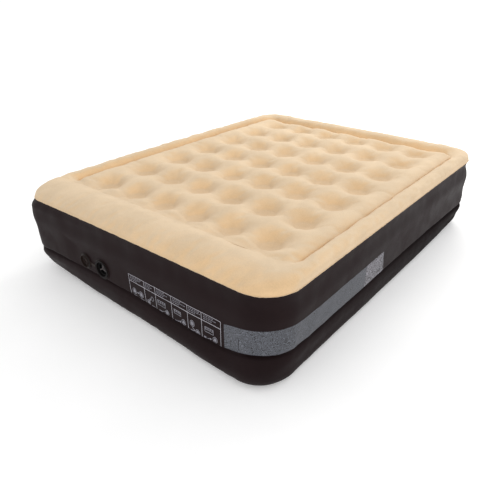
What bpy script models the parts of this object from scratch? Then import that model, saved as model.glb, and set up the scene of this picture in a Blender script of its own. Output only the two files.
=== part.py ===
"""Raised, flocked air bed: an inflated envelope of top, side and base sheets
held in shape by 42 upright coil beams, with a screw-in air valve and its
tethered cap on the short end.

Frame: origin under the middle of the bed, on the floor, in metres. +Z is up,
the short side lies along X and the long side along Y. The valve is on the
-Y end, called the valve end or "near"; +Y is "far".
"""

import math
from collections import namedtuple

import bmesh
import bpy
from mathutils import Matrix

TAU = 2 * math.pi

# ------------------------------------------------------ collections, materials
BED = "air_bed"
HELPERS = "air_bed_cutters"
FLOCK, VINYL, INNER = "beige_flock", "charcoal_vinyl", "inner_vinyl"
PLASTIC, RUBBER = "black_plastic", "soft_rubber"

# ------------------------------------------------------------ main dimensions
HALF_X = 0.7775          # seam outline, half of the short side
HALF_Y = 1.015           # seam outline, half of the long side
SEAM_Z = 0.411           # height of the weld between top and side
SHEET = 0.0006           # thickness of the flocked and vinyl sheets

# Coil beams
COLS, ROWS = 6, 7        # across and along
PITCH_X, PITCH_Y = 0.2045, 0.241
GRID_Y = 0.034           # middle of the grid, a little nearer the far end
BEAM_R = 0.046
BEAM_WALL = 0.0008
BEAM_TOP, BEAM_BOTTOM = 0.4020, 0.0022
BEAM_SIDES = 10

# Top sheet
TOP_INSET = 0.0042       # its edge, in from the seam outline
TOP_EDGE_Z = SEAM_Z + 0.0011
CREST_Z = 0.458          # top of the raised border tube
CREST_AT = 0.42          # place of the crest, as a share of tube width from the seam
CREST_NEAR_AT = 0.68     # the same along the valve end
PANEL_Z = 0.449          # crown of the sleeping surface between dimples
SHOULDER = 0.060         # width over which the surface rises from the crease
DIMPLE_DEPTH = 0.050     # how far a beam pulls the sheet down
DIMPLE_SIGMA = 0.078     # spread of the funnel round a beam

# Crease between the border tube and the sleeping surface
PANEL_X = 0.690          # where the crease runs
PANEL_Y_NEAR, PANEL_Y_FAR = -0.800, 0.885
PANEL_R = 0.060
CREASE_Z = 0.412
CREASE_RIGHT_Z = 0.426   # along the +X side, where it is shallower
CREASE_NEAR_Z = 0.441    # along the valve end, where it is only a soft valley
CREASE_RIGHT_X = (0.600, 0.680)      # x over which the +X form takes over
CREASE_NEAR_Y = (-0.730, -0.800)     # y over which the valve-end form takes over
RIGHT_SOFTNESS = 0.4     # softness of the +X crease; the valve end's is 1

# Pinch weld round the side wall
WAIST_Z = 0.134
WAIST_INSET = 0.0195
WAIST_SAG = 0.022        # how far it hangs lower along part of the valve end
SAG_START_X = (-0.300, 0.450)        # the sag grows over these x
SAG_END_X = (0.530, 0.680)           # and fades over these
SAG_Y = (-0.900, -0.970)             # from none to all of the sag
SAG_FULL_Z = 0.12                    # below this it shrinks towards the floor
SAG_FADE_Z = (0.150, 0.235)          # above the waist it fades over these
WAIST_LIFT = 0.010       # upward pull at the +X corner of the valve end
WAIST_LIFT_REACH = 0.20

# Valve place, and the flat of the wall round valve and cap
PORT_X, PORT_Z = -0.190, 0.190
PORT_Y = -(HALF_Y - 0.003)
PORT_HOLE_R = 0.0400
CAP_X = -0.3125          # centre of the open cap
PAD_X, PAD_HALF_X, PAD_FADE_X = -0.2475, 0.1185, 0.03
PAD_Z, PAD_HALF_Z, PAD_FADE_Z = 0.195, 0.0455, 0.012

# Corners, anticlockwise: signs of x and y, plan radius of the seam, how far the
# seam hangs, how far the base lifts off the floor, and how far the wall stands
# out along the diagonal at the heights in BULGE_Z.
Corner = namedtuple("Corner", "side_x side_y radius drop lift bulge")
BULGE_Z = (0.0, 0.060, WAIST_Z, 0.250, 0.364, SEAM_Z)
CORNERS = (
    Corner(1, -1, 0.155, 0.000, 0.000, (0.0167, 0.0175, 0.0067, 0.0026, 0.0010, 0.0)),
    Corner(1, 1, 0.135, 0.004, 0.0145, (-0.0058, -0.0046, 0.0200, 0.0065, 0.0120, 0.0)),
    Corner(-1, 1, 0.135, 0.006, 0.0080, (-0.0030, -0.0020, 0.0100, 0.0060, 0.0080, 0.0)),
    Corner(-1, -1, 0.129, 0.009, 0.0200, (-0.0270, -0.0036, 0.0234, 0.0222, 0.0340, 0.0)),
)
CORNER_REACH = 0.42      # how far a corner's own shape is felt
LIFT_TOP = 0.2           # height at which the lift of the base has died out

# Shift of the lower wall round the first corner: heights, x shifts, y shifts
LEAN_Z = (0.0, 0.060, WAIST_Z, 0.300)
LEAN_X = (-0.012, -0.018, -0.004, 0.0)
LEAN_Y = (-0.014, -0.018, -0.004, 0.0)
LEAN_REACH = 0.55

# Side wall levels: height, inset from the seam outline
WALL = (
    (0.4080, 0.0040), (0.3960, 0.0075), (0.3640, 0.0085), (0.3000, 0.0005),
    (0.2400, 0.0030), (0.1900, 0.0045), (0.1480, 0.0070), (WAIST_Z, WAIST_INSET),
    (0.1220, 0.0080), (0.0900, 0.0010), (0.0450, 0.0035), (0.0180, 0.0125),
    (0.0060, 0.0285), (0.0030, 0.0480),
)
# x of the points along the valve end
WALL_STATIONS = (-0.50, -0.400, -0.365, -0.300, -0.250, -0.130, -0.090, 0.05, 0.25, 0.45)
WAIST_STATIONS = (-0.50, -0.365, -0.290, -0.130, -0.090, 0.25, 0.45)

# Base sheet loops: inset, share of the corner lift that is kept
BASE_INSET = 0.0430      # just under the end of the wall
BASE_LOOPS = ((BASE_INSET, 1.0), (0.085, 0.30), (0.190, 0.0))
BASE_FILL_MARGIN = 0.16  # tells the innermost loop from the outer edge

# Weld strips
BASE_SEAM_INSET = 0.070  # inner edge
BASE_SEAM_RISE = SHEET + 0.0006
BASE_SEAM_THICK = 0.0006
TOP_SEAM_WIDTH = 0.012
TOP_SEAM_THICK = 0.0014

# Webs inside the bed
WEB_TOP, WEB_BOTTOM = 0.4030, 0.0080
BORDER_WEB_INSET = 0.002             # inside the crease line
VENT_R, VENT_DEPTH, VENT_Z = 0.04, 0.08, 0.30
WAIST_WEB_GAP = 0.0020               # to the wall
WAIST_WEB_OUTSET = 0.001             # of its inner edge, outside the crease line
NOTCH_X = (-0.30, -0.12)
NOTCH_DEPTH = 0.060


# -------------------------------------------------------------- scene helpers
def clear_scene():
    for ob in list(bpy.data.objects):
        bpy.data.objects.remove(ob, do_unlink=True)


def make_collection(name):
    bpy.context.scene.collection.children.link(bpy.data.collections.new(name))


def make_material(name, colour, roughness):
    mat = bpy.data.materials.new(name)
    mat.use_nodes = True
    mat.diffuse_color = (*colour, 1)
    shader = mat.node_tree.nodes["Principled BSDF"]
    shader.inputs["Base Color"].default_value = (*colour, 1)
    shader.inputs["Roughness"].default_value = roughness


def make_materials():
    make_material(FLOCK, colour=(0.72, 0.57, 0.38), roughness=0.95)
    make_material(VINYL, colour=(0.035, 0.031, 0.032), roughness=0.55)
    make_material(INNER, colour=(0.16, 0.16, 0.17), roughness=0.5)
    make_material(PLASTIC, colour=(0.016, 0.016, 0.017), roughness=0.42)
    make_material(RUBBER, colour=(0.05, 0.05, 0.05), roughness=0.7)


def add(name, bm, material, parent=None, smooth=30, helper=False):
    """Turn a bmesh into an object; a helper only serves a boolean."""
    mesh = bpy.data.meshes.new(name)
    bm.to_mesh(mesh)
    bm.free()
    mesh.materials.append(bpy.data.materials[material])
    mesh.shade_smooth()
    mesh.set_sharp_from_angle(angle=math.radians(smooth))
    ob = bpy.data.objects.new(name, mesh)
    bpy.data.collections[HELPERS if helper else BED].objects.link(ob)
    ob.parent = parent
    if helper:
        ob.hide_render = True
        ob.display_type = "WIRE"
    return ob


def add_empty(name, location=(0, 0, 0), rotation=(0, 0, 0), parent=None):
    ob = bpy.data.objects.new(name, None)
    ob.location = location
    ob.rotation_euler = rotation
    ob.empty_display_size = 0.05
    ob.hide_render = True
    bpy.data.collections[BED].objects.link(ob)
    ob.parent = parent
    return ob


def solidify(ob, thickness, offset):
    mod = ob.modifiers.new("sheet", "SOLIDIFY")
    mod.thickness = thickness
    mod.offset = offset
    mod.use_even_offset = True


def boolean(ob, tool, operation):
    mod = ob.modifiers.new(operation.lower(), "BOOLEAN")
    mod.operation = operation
    mod.object = tool
    mod.solver = "EXACT"


def lathe(name, profile, material, parent, steps, helper=False):
    """Turn a profile [(radius, height)] about local Z; closed unless it starts on the axis."""
    bm = bmesh.new()
    verts = [bm.verts.new((radius, 0, z)) for radius, z in profile]
    for a, b in zip(verts, verts[1:]):
        bm.edges.new((a, b))
    if profile[0][0] > 0.0001:
        bm.edges.new((verts[-1], verts[0]))
    ob = add(name, bm, material, parent, helper=helper)
    mod = ob.modifiers.new("turn", "SCREW")
    mod.axis = "Z"
    mod.angle = TAU
    mod.steps = mod.render_steps = steps
    mod.use_merge_vertices = True
    mod.merge_threshold = 0.0001
    mod.use_smooth_shade = True
    return ob


def box(*size):
    bm = bmesh.new()
    bmesh.ops.create_cube(bm, size=1, matrix=Matrix.Diagonal((*size, 1)))
    return bm


def cylinder(radius, depth, segments, matrix=Matrix()):
    bm = bmesh.new()
    bmesh.ops.create_cone(bm, cap_ends=True, segments=segments, radius1=radius,
                          radius2=radius, depth=depth, matrix=matrix)
    return bm


def cut_hole(ob, name, radius, depth, segments, axis, location, material):
    """Cut a round hole; axis "X" gives one along Y, axis "Y" one along X."""
    turn = Matrix.Rotation(math.pi / 2, 4, axis)
    cutter = add(name, cylinder(radius, depth, segments, turn), material, helper=True)
    cutter.location = location
    boolean(ob, cutter, "DIFFERENCE")


def face_up(bm):
    for face in bm.faces:
        if face.normal.z < 0:
            face.normal_flip()
    return bm


def loft(loops):
    """Skin closed loops by extruding the first one along the others."""
    bm = bmesh.new()
    level = bmesh.ops.create_circle(bm, segments=len(loops[0]), radius=1)["verts"]
    level = sorted(level, key=lambda v: math.atan2(v.co.y, v.co.x) % TAU)
    for vert, point in zip(level, loops[0]):
        vert.co = point
    edges = list(bm.edges)
    for loop in loops[1:]:
        made = bmesh.ops.extrude_edge_only(bm, edges=edges)["geom"]
        new = {g for g in made if isinstance(g, bmesh.types.BMVert)}
        edges = [g for g in made if isinstance(g, bmesh.types.BMEdge)
                 and g.verts[0] in new and g.verts[1] in new]
        next_level = []
        for vert, point in zip(level, loop):
            twin = next(e.other_vert(vert) for e in vert.link_edges
                        if e.other_vert(vert) in new)
            twin.co = point
            next_level.append(twin)
        level = next_level
    bmesh.ops.recalc_face_normals(bm, faces=list(bm.faces))
    return bm


# ------------------------------------------------------------------- outlines
def rounded_loop(half_x, y_near, y_far, radii, corner_steps=5, stations=(), straight=4):
    """Anticlockwise (x, y) loop that starts along -Y, radii in the order of CORNERS.

    Each side has `straight` points between its corners, unless stations give
    the x of those on -Y.
    """
    pts = []
    r0, r1, r2, r3 = radii

    def arc(centre_x, centre_y, start, radius):
        for k in range(corner_steps + 1):
            a = start + k / corner_steps * math.pi / 2
            pts.append((centre_x + radius * math.cos(a), centre_y + radius * math.sin(a)))

    def between(a, b):
        return [a + (b - a) * (k + 1) / (straight + 1) for k in range(straight)]

    pts += [(x, y_near) for x in stations or between(-half_x + r3, half_x - r0)]
    arc(half_x - r0, y_near + r0, -math.pi / 2, r0)
    pts += [(half_x, y) for y in between(y_near + r0, y_far - r1)]
    arc(half_x - r1, y_far - r1, 0, r1)
    pts += [(x, y_far) for x in between(half_x - r1, -half_x + r2)]
    arc(-half_x + r2, y_far - r2, math.pi / 2, r2)
    pts += [(-half_x, y) for y in between(y_far - r2, y_near + r3)]
    arc(-half_x + r3, y_near + r3, math.pi, r3)
    return pts


def seam_outline(inset, radius_less=0.0, **options):
    return rounded_loop(HALF_X - inset, -HALF_Y + inset, HALF_Y - inset,
                        [c.radius - radius_less for c in CORNERS], **options)


def crease_outline(outset, radius, **options):
    return rounded_loop(PANEL_X + outset, PANEL_Y_NEAR - outset, PANEL_Y_FAR + outset,
                        [radius] * 4, **options)


def rounded_distance(x, y, half_x, y_near, y_far, radius):
    """Distance inwards from a rounded rectangle, negative outside it."""
    middle, half_y = (y_near + y_far) / 2, (y_far - y_near) / 2
    past_x = abs(x) - (half_x - radius)
    past_y = abs(y - middle) - (half_y - radius)
    return radius - math.hypot(max(past_x, 0), max(past_y, 0)) - min(max(past_x, past_y), 0)


def corner_radius(x, y):
    return next(c.radius for c in CORNERS if c.side_x * x >= 0 and c.side_y * y >= 0)


def square_to_corner(x, y, half_x, half_y, radius):
    """Pull the square corner of a grid onto a rounded one."""
    s = (abs(x) - (half_x - radius)) / radius
    t = (abs(y) - (half_y - radius)) / radius
    if s <= 0 or t <= 0:
        return x, y
    m = max(s, t)
    a = math.pi / 4 * (t / s) if s >= t else math.pi / 2 - math.pi / 4 * (s / t)
    return (math.copysign(half_x - radius + radius * m * math.cos(a), x),
            math.copysign(half_y - radius + radius * m * math.sin(a), y))


# ------------------------------------------------- unevenness of the inflated bed
def interpolate(x, xs, ys):
    for x0, x1, y0, y1 in zip(xs, xs[1:], ys, ys[1:]):
        if x <= x1:
            return y0 + (y1 - y0) * max(0.0, x - x0) / (x1 - x0)
    return ys[-1]


def blend_step(start, end, x):
    """Smooth step from 0 at start to 1 at end."""
    k = min(1.0, max(0.0, (x - start) / (end - start)))
    return k * k * (3 - 2 * k)


def near_corner(x, y, corner, reach=CORNER_REACH):
    """1 at a corner, fading with distance."""
    d2 = (x - corner.side_x * HALF_X) ** 2 + (y - corner.side_y * HALF_Y) ** 2
    return math.exp(-d2 / reach ** 2)


def waist_sag(x, y, z):
    """How far the pinch hangs below its regular height."""
    along = blend_step(*SAG_START_X, x) * (1 - blend_step(*SAG_END_X, x))
    sag = WAIST_SAG * along * blend_step(*SAG_Y, y)
    sag -= WAIST_LIFT * near_corner(x, y, CORNERS[0], WAIST_LIFT_REACH)
    return sag * min(1.0, z / SAG_FULL_Z) * (1 - blend_step(*SAG_FADE_Z, z))


def shaped(x, y, z):
    """Give a point of the regular bed its place in the real, uneven one."""
    wall_z = min(z, SEAM_Z)
    new_x, new_y, new_z = x, y, z
    for c in CORNERS:
        w = near_corner(x, y, c)
        out = interpolate(wall_z, BULGE_Z, c.bulge) * w / math.sqrt(2)
        new_x += c.side_x * out
        new_y += c.side_y * out
        new_z += c.lift * w * max(0.0, 1 - z / LIFT_TOP) - c.drop * w * min(1.0, z / SEAM_Z)
    w = near_corner(x, y, CORNERS[0], LEAN_REACH)
    new_x += w * interpolate(wall_z, LEAN_Z, LEAN_X)
    new_y += w * interpolate(wall_z, LEAN_Z, LEAN_Y)
    return new_x, new_y, new_z - waist_sag(x, y, z)


def flatness(x, y, z):
    """1 where the wall is held flat round the valve, 0 away from it."""
    if y > -0.5:
        return 0.0
    flat_x = max(0.0, 1 - max(0.0, abs(x - PAD_X) - PAD_HALF_X) / PAD_FADE_X)
    flat_z = max(0.0, 1 - max(0.0, abs(z - PAD_Z) - PAD_HALF_Z) / PAD_FADE_Z)
    return min(flat_x, flat_z)


def wall_level(z, inset, stations=()):
    """One level of the side wall, as a loop of points."""
    loop = []
    for x, y in seam_outline(inset, stations=stations):
        wall_x, wall_y, wall_z = shaped(x, y, z)
        k = flatness(x, y, z)
        loop.append((wall_x, wall_y * (1 - k) + PORT_Y * k, wall_z))
    return loop


# ------------------------------------------------------------------ top sheet
BEAMS = [(row + 1, column + 1, (column - (COLS - 1) / 2) * PITCH_X,
          GRID_Y + (row - (ROWS - 1) / 2) * PITCH_Y)
         for row in range(ROWS) for column in range(COLS)]


def tube_height(outer, inner, crease, near, soft, x, y):
    """Border tube, from the distances inside the seam and the crease."""
    # along the valve end only, and not down the two long tubes that meet it
    wide = near * blend_step(0, 1, (HALF_X - abs(x)) / (HALF_X - PANEL_X)
                             - (y + HALF_Y) / (HALF_Y + PANEL_Y_NEAR))
    crest = CREST_AT + (CREST_NEAR_AT - CREST_AT) * wide
    t = outer / (outer - inner)
    if t < crest:
        u = 1 - t / crest
        rise = (1 - 0.5 * wide) * math.sqrt(1 - u * u) + 0.5 * wide * (1 - u * u)
        return TOP_EDGE_Z + (CREST_Z - TOP_EDGE_Z) * rise
    u = (t - crest) / (1 - crest)
    fall = (1 - soft) * math.sqrt(max(0.0, 1 - u * u)) + soft * 0.5 * (1 + math.cos(math.pi * u))
    return crease + (CREST_Z - crease) * fall


def panel_height(inner, crease, soft, x, y):
    """Dimpled sleeping surface, from the distance inside the crease."""
    s = min(1.0, inner / SHOULDER)
    rise = (1 - soft) * math.sqrt(max(0.0, 1 - (1 - s) ** 2)) + soft * s * s * (3 - 2 * s)
    z = crease + (PANEL_Z - crease) * rise
    for _, _, beam_x, beam_y in BEAMS:
        r2 = (x - beam_x) ** 2 + (y - beam_y) ** 2
        z -= DIMPLE_DEPTH * math.exp(-r2 / DIMPLE_SIGMA ** 2)
    return z


def top_height(x, y):
    outer = rounded_distance(x, y, HALF_X, -HALF_Y, HALF_Y, corner_radius(x, y))
    inner = rounded_distance(x, y, PANEL_X, PANEL_Y_NEAR, PANEL_Y_FAR, PANEL_R)
    near = blend_step(*CREASE_NEAR_Y, y)
    right = blend_step(*CREASE_RIGHT_X, x)
    soft = max(near, RIGHT_SOFTNESS * right)
    crease = CREASE_Z + (CREASE_RIGHT_Z - CREASE_Z) * right
    crease += (CREASE_NEAR_Z - crease) * near
    if inner < 0:
        return tube_height(outer, inner, crease, near, soft, x, y)
    return panel_height(inner, crease, soft, x, y)


def top_grid_lines(half_x, half_y):
    """Grid lines: four to a pitch through the beams, closer over crease and tube."""
    xs = [k * PITCH_X / 4 for k in range(13)]
    xs += [0.6450, 0.6700, 0.6830, PANEL_X, 0.6970, 0.7120, 0.7340, 0.7550, 0.7680, half_x]
    xs = {round(x, 6) for x in xs}
    ys = [GRID_Y + k * PITCH_Y / 4 for k in range(-13, 14)]
    ys += [-half_y, -1.0000, -0.9600, -0.9150, -0.8760, -0.8400, PANEL_Y_NEAR, -0.7700]
    ys += [half_y, 1.0020, 0.9800, 0.9500, 0.9180, 0.8950, PANEL_Y_FAR, 0.8750, 0.8500]
    return sorted(xs | {-x for x in xs}), sorted(ys)


def build_top_sheet():
    half_x, half_y = HALF_X - TOP_INSET, HALF_Y - TOP_INSET
    xs, ys = top_grid_lines(half_x, half_y)
    last_x, last_y = len(xs) - 1, len(ys) - 1
    bm = bmesh.new()
    bmesh.ops.create_grid(bm, x_segments=last_x, y_segments=last_y, size=1.0)
    for vert in bm.verts:
        x = xs[round((vert.co.x + 1) / 2 * last_x)]
        y = ys[round((vert.co.y + 1) / 2 * last_y)]
        x, y = square_to_corner(x, y, half_x, half_y, corner_radius(x, y) - TOP_INSET)
        vert.co = shaped(x, y, top_height(x, y))
    solidify(add("top_sheet", face_up(bm), FLOCK, smooth=60), SHEET, -1)


# --------------------------------------------------------- wall, base and seams
def build_side_wall():
    levels = [wall_level(z, inset, WALL_STATIONS) for z, inset in WALL]
    wall = add("side_wall", loft(levels), VINYL, smooth=50)
    solidify(wall, SHEET, -1)
    cut_hole(wall, "cut_port", PORT_HOLE_R, 0.06, 28, "X", (PORT_X, PORT_Y, PORT_Z), VINYL)


def build_base_sheet():
    """Flat but for its corners."""
    bm = loft([[(x, y, z * share) for x, y, z in wall_level(0.0, inset)]
               for inset, share in BASE_LOOPS])
    inner_edges = [e for e in bm.edges if e.is_boundary
                   and all(abs(v.co.x) < HALF_X - BASE_FILL_MARGIN
                           and abs(v.co.y) < HALF_Y - BASE_FILL_MARGIN for v in e.verts)]
    bmesh.ops.holes_fill(bm, edges=inner_edges)
    solidify(add("base_sheet", face_up(bm), VINYL), SHEET, 1)


def build_base_seam():
    loops = [[(x, y, z + BASE_SEAM_RISE) for x, y, z in wall_level(0.0, inset)]
             for inset in (BASE_INSET, BASE_SEAM_INSET)]
    solidify(add("base_seam", face_up(loft(loops)), VINYL), BASE_SEAM_THICK, 1)


def build_top_seam():
    """Flange between the top and the wall."""
    loops = []
    for inset in (0.0, TOP_SEAM_WIDTH):
        points = [shaped(x, y, SEAM_Z) for x, y in seam_outline(inset, inset, straight=10)]
        loops.append([(x, y, z - TOP_SEAM_THICK) for x, y, z in points])
    solidify(add("top_seam", face_up(loft(loops)), FLOCK), TOP_SEAM_THICK, 1)


# -------------------------------------------------------------- inside the bed
def build_border_web():
    """Upright web under the crease, with vents so the chambers share their air."""
    outline = crease_outline(-BORDER_WEB_INSET, PANEL_R - BORDER_WEB_INSET, corner_steps=4)
    loops = [[(x, y, z) for x, y in outline] for z in (WEB_TOP, WEB_BOTTOM)]
    web = add("border_web", loft(loops), INNER)
    solidify(web, SHEET, 0)
    vents = ((0.0, PANEL_Y_NEAR, "X"), (0.0, PANEL_Y_FAR, "X"),
             (PANEL_X, GRID_Y, "Y"), (-PANEL_X, GRID_Y, "Y"))
    for k, (x, y, axis) in enumerate(vents, 1):
        cut_hole(web, f"cut_vent_{k}", VENT_R, VENT_DEPTH, 12, axis, (x, y, VENT_Z), INNER)


def build_waist_web():
    """Flat web that ties the waist of the wall to the border web."""
    inset = WAIST_INSET + WAIST_WEB_GAP
    outer = []
    for (x, y), point in zip(seam_outline(inset, stations=WAIST_STATIONS),
                             wall_level(WAIST_Z, inset, WAIST_STATIONS)):
        # the web stands back from the valve neck
        notched = y < -0.9 and NOTCH_X[0] < x < NOTCH_X[1]
        outer.append((point[0], point[1] + (NOTCH_DEPTH if notched else 0.0), point[2]))
    inner = [(x, y, WAIST_Z) for x, y in
             crease_outline(WAIST_WEB_OUTSET, PANEL_R, stations=WAIST_STATIONS)]
    solidify(add("waist_web", face_up(loft([outer, inner])), INNER), SHEET, 0)


def build_coil_beams():
    """Open tubes between the dimples and the base."""
    bore = BEAM_R - BEAM_WALL
    profile = [(BEAM_R, BEAM_TOP), (BEAM_R, BEAM_BOTTOM), (bore, BEAM_BOTTOM), (bore, BEAM_TOP)]
    for row, column, x, y in BEAMS:
        beam = lathe(f"coil_beam_r{row}c{column}", profile, INNER, None, BEAM_SIDES)
        beam.location = (x, y, 0)


# ---------------------------------------------------------------- valve and cap
# Profiles are (radius, height out of the wall), about the valve or cap axis.
FACE_OUT = (math.pi / 2, 0, 0)       # local +Z looks out of the valve end
PATCH_GAP = 0.0003                   # between the patch and the wall
HINGE_OUT = 0.00615                  # cap hinge line, out from the wall
HINGE_DX = (CAP_X - PORT_X) / 2      # hinge from valve centre, and cap from hinge
HINGE_GAP = 0.0006                   # each half of the tether stops short by this
TETHER_Z, TETHER_WIDTH, TETHER_THICK = 0.0030, 0.0130, 0.0014
TETHER_TOP = TETHER_Z + TETHER_THICK / 2
TETHER_BOTTOM = TETHER_Z - TETHER_THICK / 2
TONGUE_START = -0.0475               # inside the loop band
STRAP_START = 0.0388                 # just clear of the cap rim
SPOKE_SIZE = (0.0250, 0.0060, 0.0030)
SPOKE_R, SPOKE_Z = 0.0178, -0.01215  # centre of a spoke
TAB_R, TAB_THICK, TAB_STRETCH = 0.0085, 0.0024, 1.35
TAB_AT = (-0.0395, 0, 0.0024)

PATCH = [(0.0495, 0.0012), (0.0495, PATCH_GAP), (0.0405, PATCH_GAP), (0.0405, 0.0018),
         (0.0485, 0.0018)]
NECK = [(0.0445, 0.0080), (0.0455, 0.0070), (0.0455, 0.0021), (0.0397, 0.0021),
        (0.0385, -0.0040), (0.0380, -0.0300), (0.0350, -0.0300), (0.0350, 0.0068),
        (0.0362, 0.0080)]
TETHER_LOOP = [(0.0490, TETHER_TOP), (0.0490, TETHER_BOTTOM), (0.0458, TETHER_BOTTOM),
               (0.0458, TETHER_TOP)]
INSERT = [(0.0335, -0.0015), (0.0342, -0.0025), (0.0342, -0.0060), (0.0316, -0.0060),
          (0.0316, -0.0138), (0.0288, -0.0138), (0.0288, -0.0025), (0.0298, -0.0015)]
HUB = [(0.0075, -0.0105), (0.0075, -0.0138), (0.0028, -0.0138), (0.0028, -0.0105)]
FLAP = [(0.0303, -0.0145), (0.0307, -0.0153), (0.0303, -0.0161), (0.0027, -0.0165),
        (0.0027, -0.0145)]
STEM = [(0.0, -0.0034), (0.0040, -0.0036), (0.0046, -0.0049), (0.0022, -0.0049),
        (0.0022, -0.0168), (0.0060, -0.0168), (0.0052, -0.0186), (0.0, -0.0190)]
CAP = [(0.0, 0.0022), (0.0288, 0.0022), (0.0288, 0.0115), (0.0315, 0.0115),
       (0.0315, 0.0040), (0.0375, 0.0040), (0.0385, 0.0030), (0.0380, 0.0012),
       (0.0370, 0.0010), (0.0, 0.0010)]


def build_o_ring(name, major, minor, z, parent):
    sides = 6
    angles = [-k * TAU / sides for k in range(sides)]
    profile = [(major + minor * math.cos(a), z + minor * math.sin(a)) for a in angles]
    lathe(name, profile, RUBBER, parent, 24)


def tether_box(start, end):
    return box(abs(end - start), TETHER_WIDTH, TETHER_THICK)


def build_tether_loop(port):
    """Loop round the neck, with its tongue to the hinge."""
    loop = lathe("tether_loop", TETHER_LOOP, PLASTIC, port, 32)
    end = HINGE_DX + HINGE_GAP
    tongue = add("add_tongue", tether_box(TONGUE_START, end), PLASTIC, port, helper=True)
    tongue.location = ((TONGUE_START + end) / 2, 0, TETHER_Z)
    boolean(loop, tongue, "UNION")


def build_insert(axis):
    """Screw-in ring with three spokes and a drilled hub."""
    insert = lathe("valve_insert", INSERT, PLASTIC, axis, 30)
    boolean(insert, lathe("add_hub", HUB, PLASTIC, axis, 20, helper=True), "UNION")
    for k in range(3):
        spoke = add(f"add_spoke_{k + 1}", box(*SPOKE_SIZE), PLASTIC, axis, helper=True)
        a = math.pi / 2 + k * TAU / 3
        spoke.location = (SPOKE_R * math.cos(a), SPOKE_R * math.sin(a), SPOKE_Z)
        spoke.rotation_euler = (0, 0, a)
        boolean(insert, spoke, "UNION")
    build_o_ring("insert_o_ring", major=0.0332, minor=0.0012, z=-0.0095, parent=axis)


def build_flap(insert_axis):
    """One-way flap: a soft disc on a headed stem that slides in the hub."""
    axis = add_empty("flap_axis", parent=insert_axis)
    lathe("flap_disc", FLAP, RUBBER, axis, 28)
    lathe("flap_stem", STEM, RUBBER, axis, 16)


def build_valve():
    port = add_empty("valve_axis", (PORT_X, PORT_Y, PORT_Z), FACE_OUT)
    lathe("valve_patch", PATCH, VINYL, port, 32)
    lathe("valve_neck", NECK, PLASTIC, port, 32)
    build_tether_loop(port)
    insert_axis = add_empty("insert_axis", parent=port)
    build_insert(insert_axis)
    build_flap(insert_axis)


def build_cap():
    """Open cap: its outer face lies on the wall, the plug looks out."""
    hinge = add_empty("cap_hinge_axis", (PORT_X + HINGE_DX, PORT_Y - HINGE_OUT, PORT_Z))
    seat = add_empty("cap_seat", (HINGE_DX, HINGE_OUT, 0), FACE_OUT, hinge)
    cap = lathe("valve_cap", CAP, PLASTIC, seat, 32)
    tab_mesh = cylinder(TAB_R, TAB_THICK, 16)
    for vert in tab_mesh.verts:
        vert.co.y *= TAB_STRETCH
    tab = add("add_tab", tab_mesh, PLASTIC, seat, helper=True)
    tab.location = TAB_AT
    boolean(cap, tab, "UNION")
    build_o_ring("cap_o_ring", major=0.0330, minor=0.0011, z=0.0070, parent=seat)

    end = -HINGE_DX - HINGE_GAP
    strap = add("cap_tether", tether_box(STRAP_START, end), PLASTIC, seat)
    strap.location = ((STRAP_START + end) / 2, 0, TETHER_Z)


def main():
    clear_scene()
    make_collection(BED)
    make_collection(HELPERS)
    make_materials()
    build_top_sheet()
    build_side_wall()
    build_base_sheet()
    build_base_seam()
    build_top_seam()
    build_border_web()
    build_waist_web()
    build_coil_beams()
    build_valve()
    build_cap()


main()
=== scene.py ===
"""Raised air bed: flocked top, vinyl wall with its printing, base, inside parts and valve.

X runs across the bed and Y along it, the floor is z = 0, and the valve faces out of the
-Y end ("near"; +Y is "far", +X is "right"). Points are laid out on a regular bed, and
shaped() moves them to the slightly uneven form of the real one.
"""

import math
from collections import Counter

import bpy
import numpy as np
from mathutils import Matrix, Vector
from mathutils.bvhtree import BVHTree


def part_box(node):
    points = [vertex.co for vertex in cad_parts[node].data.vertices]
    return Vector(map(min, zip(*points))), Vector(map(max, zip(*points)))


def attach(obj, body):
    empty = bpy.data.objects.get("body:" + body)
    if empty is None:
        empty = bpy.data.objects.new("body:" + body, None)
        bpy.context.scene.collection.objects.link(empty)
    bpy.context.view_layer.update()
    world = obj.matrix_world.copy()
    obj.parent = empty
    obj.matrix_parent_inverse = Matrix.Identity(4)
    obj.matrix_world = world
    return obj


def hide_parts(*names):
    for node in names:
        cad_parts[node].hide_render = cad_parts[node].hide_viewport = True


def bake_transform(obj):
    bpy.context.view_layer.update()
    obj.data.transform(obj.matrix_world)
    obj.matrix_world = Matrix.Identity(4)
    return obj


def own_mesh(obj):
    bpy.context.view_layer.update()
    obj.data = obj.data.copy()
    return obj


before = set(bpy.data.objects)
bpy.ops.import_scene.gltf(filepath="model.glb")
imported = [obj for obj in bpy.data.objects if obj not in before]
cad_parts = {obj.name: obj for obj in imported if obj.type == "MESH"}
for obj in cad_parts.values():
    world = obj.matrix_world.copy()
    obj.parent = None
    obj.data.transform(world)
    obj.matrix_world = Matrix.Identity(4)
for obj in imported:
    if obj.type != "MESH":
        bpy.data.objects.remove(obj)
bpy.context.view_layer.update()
TAU = 2 * math.pi

# ---------------------------------------------------------------- sizes of the bed
HALF_X, HALF_Y = 0.7775, 1.0150
SEAM_Z, CREST_Z, PANEL_Z = 0.411, 0.458, 0.449
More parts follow.
